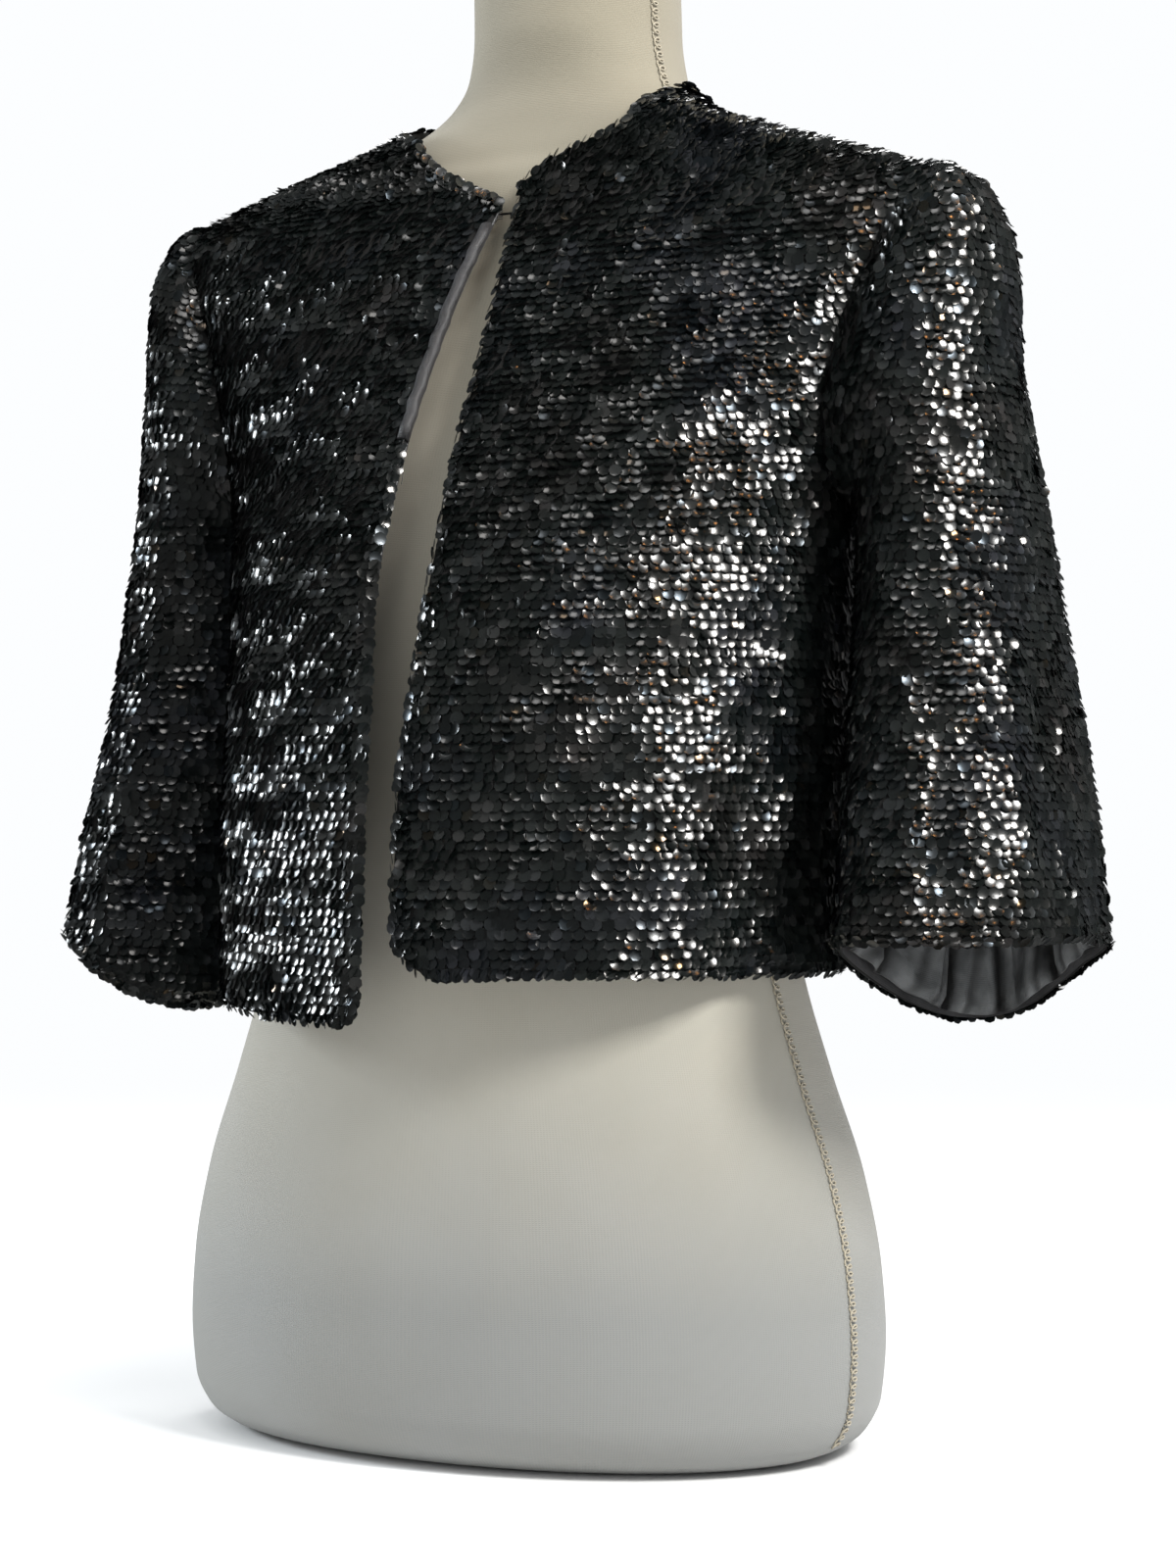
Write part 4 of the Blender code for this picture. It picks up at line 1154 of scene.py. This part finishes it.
def satin_material(name, tones):
    """Black satin with a soft sheen, a fine weave, rubbed streaks, and shade painted into the creases a mesh
    marks.
    """
    material, tree, shader = new_material(
        name, Specular_IOR_Level=0.5, Sheen_Weight=0.05, Sheen_Roughness=0.5)
    where = coordinates(tree, "UV")
    cloud = noise(tree, where, *SATIN_CLOUDS)
    # Painted shade: the crease attribute darkens the color to near black deep in the lining's folds
    crease = add_node(tree, "Attribute", attribute_name="crease").outputs["Fac"]
    color = mixed(tree, crease, color_ramp(tree, cloud, tones), CREASE_SHADE_COLOR)
    set_up(tree, shader, Base_Color=color, Roughness=ranged(tree, cloud, *SATIN_ROUGHNESS))
    crumple = maths(tree, "MULTIPLY", noise(tree, where, *SATIN_CRUMPLES), SATIN_CRUMPLE_SHARE)
    bumped(tree, shader, maths(tree, "ADD", crumple, weave(tree, *SATIN_WEAVE)), SATIN_RELIEF)
    return material


def jersey_material():
    """Cream jersey, a fine knit of wales and courses, yellower up the neck, with painted light and shade by
    height: greyer and darker low down, lighter at the waist.
    """
    material, tree, shader = new_material(
        "form_jersey", Roughness=0.88, Sheen_Weight=0.2, Sheen_Roughness=0.6)
    place = coordinates(tree, "Object")
    knit = weave(tree, *KNIT)
    rise = add_node(tree, "SeparateXYZ", Vector=place).outputs["Z"]
    height = add_node(tree, "MapRange", Value=rise, From_Max=FORM_HEIGHT).outputs["Result"]
    worn = color_ramp(tree, noise(tree, place, *SOIL), JERSEY_SOIL)
    # Painted light and shade by height, over the jersey's own tint
    tint_and_light = mixed(tree, 1.0, color_ramp(tree, height, JERSEY_TINTS_AND_LIGHT), worn, "MULTIPLY")
    set_up(tree, shader, Base_Color=mixed(tree, ranged(tree, knit, *KNIT_SHOWN), tint_and_light, JERSEY_LINES))
    bumped(tree, shader, knit, KNIT_RELIEF, KNIT_STRENGTH)
    return material


def thread_material(name, color):
    """Twisted sewing thread."""
    material, tree, shader = new_material(name, Roughness=0.7, Sheen_Weight=0.3)
    twist = noise(tree, coordinates(tree, "Object"), *THREAD_TWIST)
    dark = tuple(THREAD_SHADE * part for part in color)
    set_up(tree, shader, Base_Color=color_ramp(tree, twist, ((0.3, dark), (0.7, color))))
    bumped(tree, shader, twist, THREAD_RELIEF)
    return material


def wire_material():
    """Japanned wire, rubbed in places."""
    material, tree, shader = new_material("black_wire", Metallic=0.8)
    wear = noise(tree, coordinates(tree, "Object"), *WIRE_WEAR)
    color = color_ramp(tree, wear, WIRE_TONES)
    set_up(tree, shader, Base_Color=color, Roughness=ranged(tree, wear, *WIRE_ROUGHNESS))
    bumped(tree, shader, wear, WIRE_RELIEF)
    return material


def floor_material():
    """A pale floor that passes into the background's own light further off."""
    material, tree, shader = new_material("pale_floor", Roughness=0.9)
    where = coordinates(tree, "Object")
    set_up(tree, shader, Base_Color=color_ramp(tree, noise(tree, where, *FLOOR_PATCHES), FLOOR_TONES))
    length = add_node(tree, "VectorMath", operation="LENGTH")
    feed(tree, where, length.inputs[0])
    far = add_node(tree, "MapRange", interpolation_type="SMOOTHSTEP", Value=length.outputs["Value"],
                   From_Min=FLOOR_NEAR, From_Max=FLOOR_FAR)
    glow = add_node(tree, "Emission", Color=SKY_COLOR, Strength=SKY_BEHIND)
    blend = add_node(tree, "MixShader", Fac=far.outputs["Result"])
    for source, socket in ((shader, 1), (glow, 2)):
        tree.links.new(source.outputs[0], blend.inputs[socket])
    tree.links.new(blend.outputs[0], tree.nodes["Material Output"].inputs["Surface"])
    return material


def free_edge(points, out, edge, inward):
    """A path along a panel's edge: its points, its normals and the ways out of the cloth."""
    return points[edge], out[edge], points[edge] - points[inward]


def build_panels():
    """Fronts, back and their facings, each a thin shell with its sequins."""
    for side in (LEFT, RIGHT):
        name = SIDE_NAMES[side] + "_front"
        cut = front_grid(side)
        outer, out = panel(side, cut)
        inner = outer - CLOTH * out
        shell = cloth_piece(name + "_cloth", [(outer, inner)], [GROUND, SATIN_CLOTH])
        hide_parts(name)
        bound = slice(0, 0)
        if side == RIGHT:
            bound = slice(*np.searchsorted(outer[:CENTRE_ROWS, 0, 2], BINDING_HEIGHTS))
        edges = [free_edge(outer, out, np.s_[0, :], np.s_[1, :])]
        for part in (slice(0, bound.start), slice(bound.stop, None)):
            if part != slice(0, 0):
                edges.append(free_edge(outer, out, (part, 0), (part, 1)))
        sequins = panel_sequins(name + "_sequins", side, cut, edges, FRONT_SEED + side)
        strip = (slice(FRONT_FACING_BOTTOM_ROW, CENTRE_ROWS + 1), slice(0, FRONT_FACING_COLUMNS + 1))
        walls = [facing_walls(inner[strip], out[strip])]
        if side == RIGHT:
            walls.append(binding_walls(outer[bound], out[bound]))
            hang_thread(outer[bound.start, 0], out[bound.start, 0])
        facing = cloth_piece(name + "_facing_satin", walls, [SATIN_CLOTH])
        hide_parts(name + "_facing")
    halves = back_panels()
    walls = [(outer, outer - CLOTH * out) for outer, out in halves.values()]
    shell = cloth_piece("back_cloth", walls, [GROUND, SATIN_CLOTH], joined_rows=CENTRE_ROWS)
    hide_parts("back")
    sequins, facing = [], []
    for side, (outer, out) in halves.items():
        neck = np.s_[CENTRE_ROWS:, 0], np.s_[CENTRE_ROWS:, 1]
        edges = [free_edge(outer, out, np.s_[0, :], np.s_[1, :]), free_edge(outer, out, *neck)]
        name = "back_%s_sequins" % SIDE_NAMES[side]
        sequins.append(panel_sequins(name, side, back_grid(side), edges, BACK_SEED + side))
        strip = (slice(CENTRE_ROWS - NECK_FACING_COLUMNS, None), slice(0, NECK_FACING_COLUMNS + 1))
        facing.append(facing_walls(outer[strip] - CLOTH * out[strip], out[strip]))
    facing = cloth_piece("back_neck_facing_satin", facing, [SATIN_CLOTH], joined_rows=NECK_FACING_COLUMNS)
    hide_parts("back_neck_facing")


def binding_walls(points, out):
    """Satin turned over the cloth's edge, from the facing inside to a narrow strip outside."""
    edge, normal = points[:, :1], out[:, :1]
    inward = unit(points[:, 1:2] - edge)
    route = np.array(BINDING_ROUTE)
    ahead = unit(np.gradient(route, axis=0))
    wobble = BINDING_WOBBLE * np.sin(np.linspace(0, 2 * np.pi * BINDING_WAVES, len(edge)))[:, None, None]
    inner = edge + (route[:, :1] + wobble) * inward + route[:, 1:] * normal
    return inner + SATIN * (ahead[:, :1] * normal - ahead[:, 1:] * inward), inner


def hang_thread(start, out):
    """A loose end of thread that hangs from the edge."""
    route = [start + along * out + (0, 0, -fall) for along, fall in LOOSE_THREAD]
    route = through(route, THREAD_CURVE_STEPS)
    threads("loose_thread", [route], LOOSE_THREAD_RADIUS, BLACK_THREAD)


def build_sleeves():
    """Sleeves with their sequins, and the gathered satin inside each cuff."""
    for side in (LEFT, RIGHT):
        name = SIDE_NAMES[side] + "_sleeve"
        outer = sleeve_points(side)
        out = tube_normals(outer)
        inner = outer - CLOTH * out
        shell = cloth_piece(name + "_cloth", [(outer, inner)], [GROUND, SATIN_CLOTH], closed=True)
        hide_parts(name)
        sequins = sleeve_sequins(name + "_sequins", outer[::-1], out[::-1], SLEEVE_SEED + side)
        # The lining's crease shade is shade painted into its folds
        walls, crease_shade = lining_walls(inner)
        lining = cloth_piece(name + "_lining_satin", [walls], [LINING_CLOTH], closed=True, crease_shade=crease_shade)
        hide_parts(name + "_lining")


def lining_walls(inner):
    """Both faces of a sleeve's gathered lining, and how much painted shade each point gets by how deep in a
    crease it lies.
    """
    face = inner[LINING_TOP_ROW:]
    face = np.concatenate([face, face[:, :1]], axis=1)
    columns = face.shape[1] - 1
    at = np.arange(columns * GATHER_SPLIT) / GATHER_SPLIT
    low = at.astype(int)
    share = (at - low)[None, :, None]
    face = face[:, low] * (1 - share) + face[:, low + 1] * share
    step = face[-1] - face[-2]
    back = LINING_SETBACK / np.linalg.norm(step, axis=1, keepdims=True)
    face[-1] = face[-1] - np.minimum(back, LINING_SETBACK_MOST) * step
    away = tube_normals(face)
    turn = (at / columns)[None]
    drift = GATHER_DRIFT * np.sin(2 * np.pi * GATHER_DRIFT_WAVES * turn)
    down = np.linspace(0, 1, len(face))[:, None]
    slant = PUFF_SLANT * np.sin(2 * np.pi * (PUFF_SLANT_WAVES * turn + PUFF_SLANT_START))
    folds = np.pi * (GATHERS * turn + drift + slant * down)
    full = PUFF_LOW + (1 - PUFF_LOW) * np.sin(2 * np.pi * (PUFF_WAVES * turn + PUFF_START)) ** 2
    puff = full * np.abs(np.sin(folds)) ** PUFF_SHARPNESS
    bend = CRUSH_BEND * np.sin(2 * np.pi * CRUSH_BEND_WAVES * turn)
    lean = np.sin(2 * np.pi * (CRUSH_DRIFT * down + CRUSH_WAVES * turn + bend))
    hold = 1 - (1 - PUFF_SEWN_SHARE) * ease((down - PUFF_SEWN_FROM) / (1 - PUFF_SEWN_FROM))
    depth = LAYER_GAP + (PUFF_DEPTH * puff + CRUSH_DEPTH * (0.5 + 0.5 * lean)) * hold
    depth = depth[..., None]
    # Painted shade: darkest at the bottom of each gather's crease and along the slanting wrinkles
    crease_shade = np.exp(-(np.sin(folds) / CREASE_SHADE_WIDTH) ** 2) + CRUSH_SHADE * np.clip(-lean, 0, 1)
    return (face - depth * away, face - (depth + SATIN) * away), np.clip(crease_shade, 0, 1)


def form_point(angle, height):
    """A point and normal on the form's free part or its neck."""
    if height < FORM_ROWS[-1][0]:
        return level_section(FORM, LEFT, np.array(angle), np.array(height))
    inset, out = form_inset(np.array([angle]), np.array([[height]]))
    point = level_section(BODY, LEFT, np.array([angle]), np.array([[height]]))[0]
    return (point - inset[..., None] * out)[0, 0], out[0, 0]


def form_inset(angle, heights):
    """How far the form lies inside the jacket's outer face, and that face's normals."""
    cosine = np.cos(np.radians(angle))
    high = ease((heights - FACED_FROM) / FACED_RUN)
    behind = ease((FACED_BACK_COSINE - cosine) / FACED_BACK_RUN)
    faced = np.maximum(high, behind)
    inset = (CLOTH + SEAT_GAP) * (1 - faced) + FACED_INSET * faced
    throat = np.clip(cosine, 0, 1) ** 2 * ease((FRONT_HOLLOW_TOP - heights) / FRONT_HOLLOW_RUN)
    return inset + FRONT_HOLLOW * throat, body_normals(LEFT, angle, heights)


def build_form():
    """The form's jersey skin, closed by its flat base and its plain top."""
    angle = np.linspace(0, 360, FORM_COLUMNS, endpoint=False)
    heights = np.concatenate([np.linspace(*FOOT_RINGS), np.linspace(*FREE_RINGS)])[:, None]
    off = angle[None] - FORM_CREASE_ANGLE - FORM_CREASE_TURN * heights
    crease = FORM_CREASE_DEPTH * np.exp(-(off / FORM_CREASE_WIDTH) ** 2)
    crease = crease * ease((FORM_CREASE_HIGH[0] - heights) / FORM_CREASE_HIGH[1])
    crease = crease * ease((heights - FORM_CREASE_LOW[0]) / FORM_CREASE_LOW[1])
    lower, way = level_section(FORM, LEFT, angle[None], heights)
    lower = lower + crease[..., None] * way
    heights = np.linspace(*SHOULDER_RINGS)[:, None]
    inset, out = form_inset(angle, heights)
    upper = level_section(BODY, LEFT, angle, heights)[0] - inset[..., None] * out
    upper[-1, :, 2] = upper[-1, :, 2].mean()
    rings = np.concatenate([lower, upper])
    rows, columns = rings.shape[:2]
    quads, places = grid_quads(rows, columns, columns)
    forward = list(range(columns))
    backward = forward[::-1]
    faces = quads.tolist() + [backward, [(rows - 1) * columns + k for k in forward]]
    form = mesh_piece("form_skin", rings.reshape(-1, 3), faces, [JERSEY])
    across = np.linalg.norm(np.diff(rings, axis=1), axis=2).mean()
    uv = np.stack([places[..., 0] * across, rings[..., 2].ravel()[quads]], -1)
    ends = rings[[0] * columns + [-1] * columns, backward + forward, :2]
    lay_uv(form.data, np.concatenate([uv.reshape(-1, 2), ends]))
    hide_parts("dress_form")


def tube(points, radius):
    """Points and faces of a thin round thread along a route, with closed ends."""
    points = np.array(points, float)
    along = unit(np.gradient(points, axis=0))
    upright = np.abs(along[:, 2:]) > UPRIGHT
    side = unit(np.cross(along, np.where(upright, (1.0, 0.0, 0.0), (0.0, 0.0, 1.0))))
    other = np.cross(along, side)
    turn = 2 * np.pi * np.arange(THREAD_SIDES) / THREAD_SIDES
    ring = np.cos(turn)[None, :, None] * side[:, None] + np.sin(turn)[None, :, None] * other[:, None]
    faces = grid_quads(len(points), THREAD_SIDES, THREAD_SIDES)[0].tolist()
    faces.append(list(range(THREAD_SIDES))[::-1])
    faces.append([(len(points) - 1) * THREAD_SIDES + j for j in range(THREAD_SIDES)])
    return (points[:, None] + radius * ring).reshape(-1, 3), faces


def threads(name, routes, radius, material):
    """Several threads joined in one mesh."""
    verts, faces = [], []
    for route in routes:
        points, around = tube(route, radius)
        start = sum(map(len, verts))
        verts.append(points)
        faces += [[start + corner for corner in face] for face in around]
    piece = mesh_piece(name, np.vstack(verts), faces, [material])
    return piece


def build_stitching():
    """Looped overlock stitches down the form's sides and up its neck."""
    routes = []
    for low, high, angles in STITCHED_SEAMS:
        for angle in angles:
            route = []
            for turn in np.arange(0, (high - low) / STITCH_PITCH, 1 / STITCH_STEPS):
                swing = 2 * np.pi * turn
                height = low + STITCH_PITCH * turn + STITCH_LOOP * np.sin(swing)
                point, out = form_point(angle, height)
                across = unit(np.cross(out, (0.0, 0.0, 1.0)))
                lift = THREAD_RADIUS * (STITCH_CLEARANCE + STITCH_CROSSING * np.cos(0.5 * swing))
                route.append(point + 0.5 * STITCH_WIDTH * np.cos(swing) * across + lift * out)
            routes.append(route)
    threads("form_stitching", routes, THREAD_RADIUS, BEIGE_THREAD)


def build_fastener():
    """Hook and eye, with the thread that sews them on."""
    y = smooth(BODY["height"], BODY["front_y"], HOOK_HEIGHT) + HOOK_SETBACK
    turn = np.radians(np.linspace(-90, 90, BEND_STEPS))
    bend = HOOK_BEND * np.stack([np.cos(turn), np.sin(turn)], 1)
    route = [(-HOOK_SHANK, y - HOOK_BEND), (-0.5 * HOOK_SHANK, y - HOOK_BEND)]
    route += [(x, y + rise) for x, rise in bend] + [(-HOOK_TIP, y + HOOK_BEND)]
    route = [(x, across, HOOK_HEIGHT) for x, across in route]
    hook = threads("hook_wire", [route], WIRE_RADIUS, WIRE)
    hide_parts("hook")
    turn = np.radians(np.linspace(90, 270, BEND_STEPS))
    bend = EYE_HALF_HEIGHT * np.stack([np.cos(turn), np.sin(turn)], 1)
    route = [(EYE_REACH, EYE_HALF_HEIGHT)] + [(EYE_BOW * x, rise) for x, rise in bend]
    route.append((EYE_REACH, -EYE_HALF_HEIGHT))
    route = [(x, y, HOOK_HEIGHT + rise) for x, rise in route]
    eye = threads("eye_wire", [route], WIRE_RADIUS, WIRE)
    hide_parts("eye")
    routes = []
    for middle, reach in ((-HOOK_SHANK + HOOK_SEWN, -1), (EYE_REACH - EYE_SEWN, 1)):
        for number in range(FASTENER_STITCHES):
            lift = (number - FASTENER_STITCHES // 2) * FASTENER_STITCH_STEP
            route = [(middle + along * reach, y + across, HOOK_HEIGHT + share * lift + rise)
                     for along, across, share, rise in FASTENER_STITCH]
            routes.append(through(route, THREAD_CURVE_STEPS))
    threads("fastener_thread", routes, FASTENER_THREAD_RADIUS, BLACK_THREAD)


def build_camera():
    azimuth, yaw, pitch = np.radians([CAMERA_AZIMUTH, CAMERA_YAW, CAMERA_PITCH])
    forward = np.array([-np.sin(azimuth), np.cos(azimuth), 0.0])
    right = np.array([np.cos(azimuth), np.sin(azimuth), 0.0])
    look = forward * np.cos(yaw) + right * np.sin(yaw) + np.array([0.0, 0.0, np.tan(pitch)])
    data = bpy.data.cameras.new("camera")
    data.lens = CAMERA_LENS
    camera = placed("camera", data)
    camera.location = (*(-CAMERA_DISTANCE * forward[:2]), CAMERA_HEIGHT)
    camera.rotation_euler = Vector(look).to_track_quat("-Z", "Y").to_euler()
    bpy.context.scene.camera = camera


def build_light(name, azimuth, elevation, distance, size, power, color):
    """A soft square light aimed at the middle of the part, placed by azimuth and elevation."""
    data = bpy.data.lights.new(name, "AREA")
    data.size, data.energy, data.color = size, power, color
    light = placed(name, data)
    a, e = np.radians([azimuth, elevation])
    back = Vector((np.sin(a) * np.cos(e), -np.cos(a) * np.cos(e), np.sin(e)))
    light.location = Vector(SCENE_CENTRE) + distance * back
    light.rotation_euler = (-back).to_track_quat("-Z", "Y").to_euler()


def build_studio():
    """A pale floor, a pale sky and soft lights, small enough for the sequins to sparkle."""
    mesh = bpy.data.meshes.new("floor")
    corners = [(-FLOOR, -FLOOR, 0), (FLOOR, -FLOOR, 0), (FLOOR, FLOOR, 0), (-FLOOR, FLOOR, 0)]
    mesh.from_pydata(corners, [], [(0, 1, 2, 3)])
    mesh.materials.append(floor_material())
    floor = placed("floor", mesh)
    floor.location.z = -FLOOR_GAP
    floor.visible_glossy = False
    world = bpy.data.worlds.new("studio")
    world.use_nodes = True
    tree = world.node_tree
    sky = tree.nodes["Background"]
    sky.inputs["Color"].default_value = (*SKY_COLOR, 1.0)
    rays = add_node(tree, "LightPath")
    gloss = maths(tree, "MULTIPLY", rays.outputs["Is Glossy Ray"], SKY_IN_GLOSS - SKY)
    seen = maths(tree, "MULTIPLY", rays.outputs["Is Camera Ray"], SKY_BEHIND - SKY)
    tree.links.new(maths(tree, "ADD", maths(tree, "ADD", gloss, seen), SKY), sky.inputs["Strength"])
    bpy.context.scene.world = world
    bpy.context.scene.view_settings.view_transform = "Standard"
    for row in LIGHTS:
        build_light(*row)


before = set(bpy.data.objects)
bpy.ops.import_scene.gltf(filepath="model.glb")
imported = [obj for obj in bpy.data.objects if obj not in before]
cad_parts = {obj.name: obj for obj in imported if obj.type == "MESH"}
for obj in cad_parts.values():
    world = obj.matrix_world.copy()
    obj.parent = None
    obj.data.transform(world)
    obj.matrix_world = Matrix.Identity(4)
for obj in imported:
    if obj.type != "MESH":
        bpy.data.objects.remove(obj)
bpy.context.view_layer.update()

BODY = table(BODY_COLUMNS, BODY_ROWS)
FORM = table(BODY_COLUMNS, FORM_ROWS)
GAP = table(GAP_COLUMNS, GAP_ROWS)
SLEEVE = table(SLEEVE_COLUMNS, SLEEVE_ROWS[::-1])

SEQUIN = sequin_material()
GROUND = ground_material()
SATIN_CLOTH = satin_material("facing_satin", FACING_TONES)
LINING_CLOTH = satin_material("lining_satin", LINING_TONES)
JERSEY = jersey_material()
BEIGE_THREAD = thread_material("beige_thread", BEIGE)
BLACK_THREAD = thread_material("black_thread", BLACK)
WIRE = wire_material()

build_camera()
build_studio()
build_form()
build_stitching()
build_panels()
build_sleeves()
build_fastener()
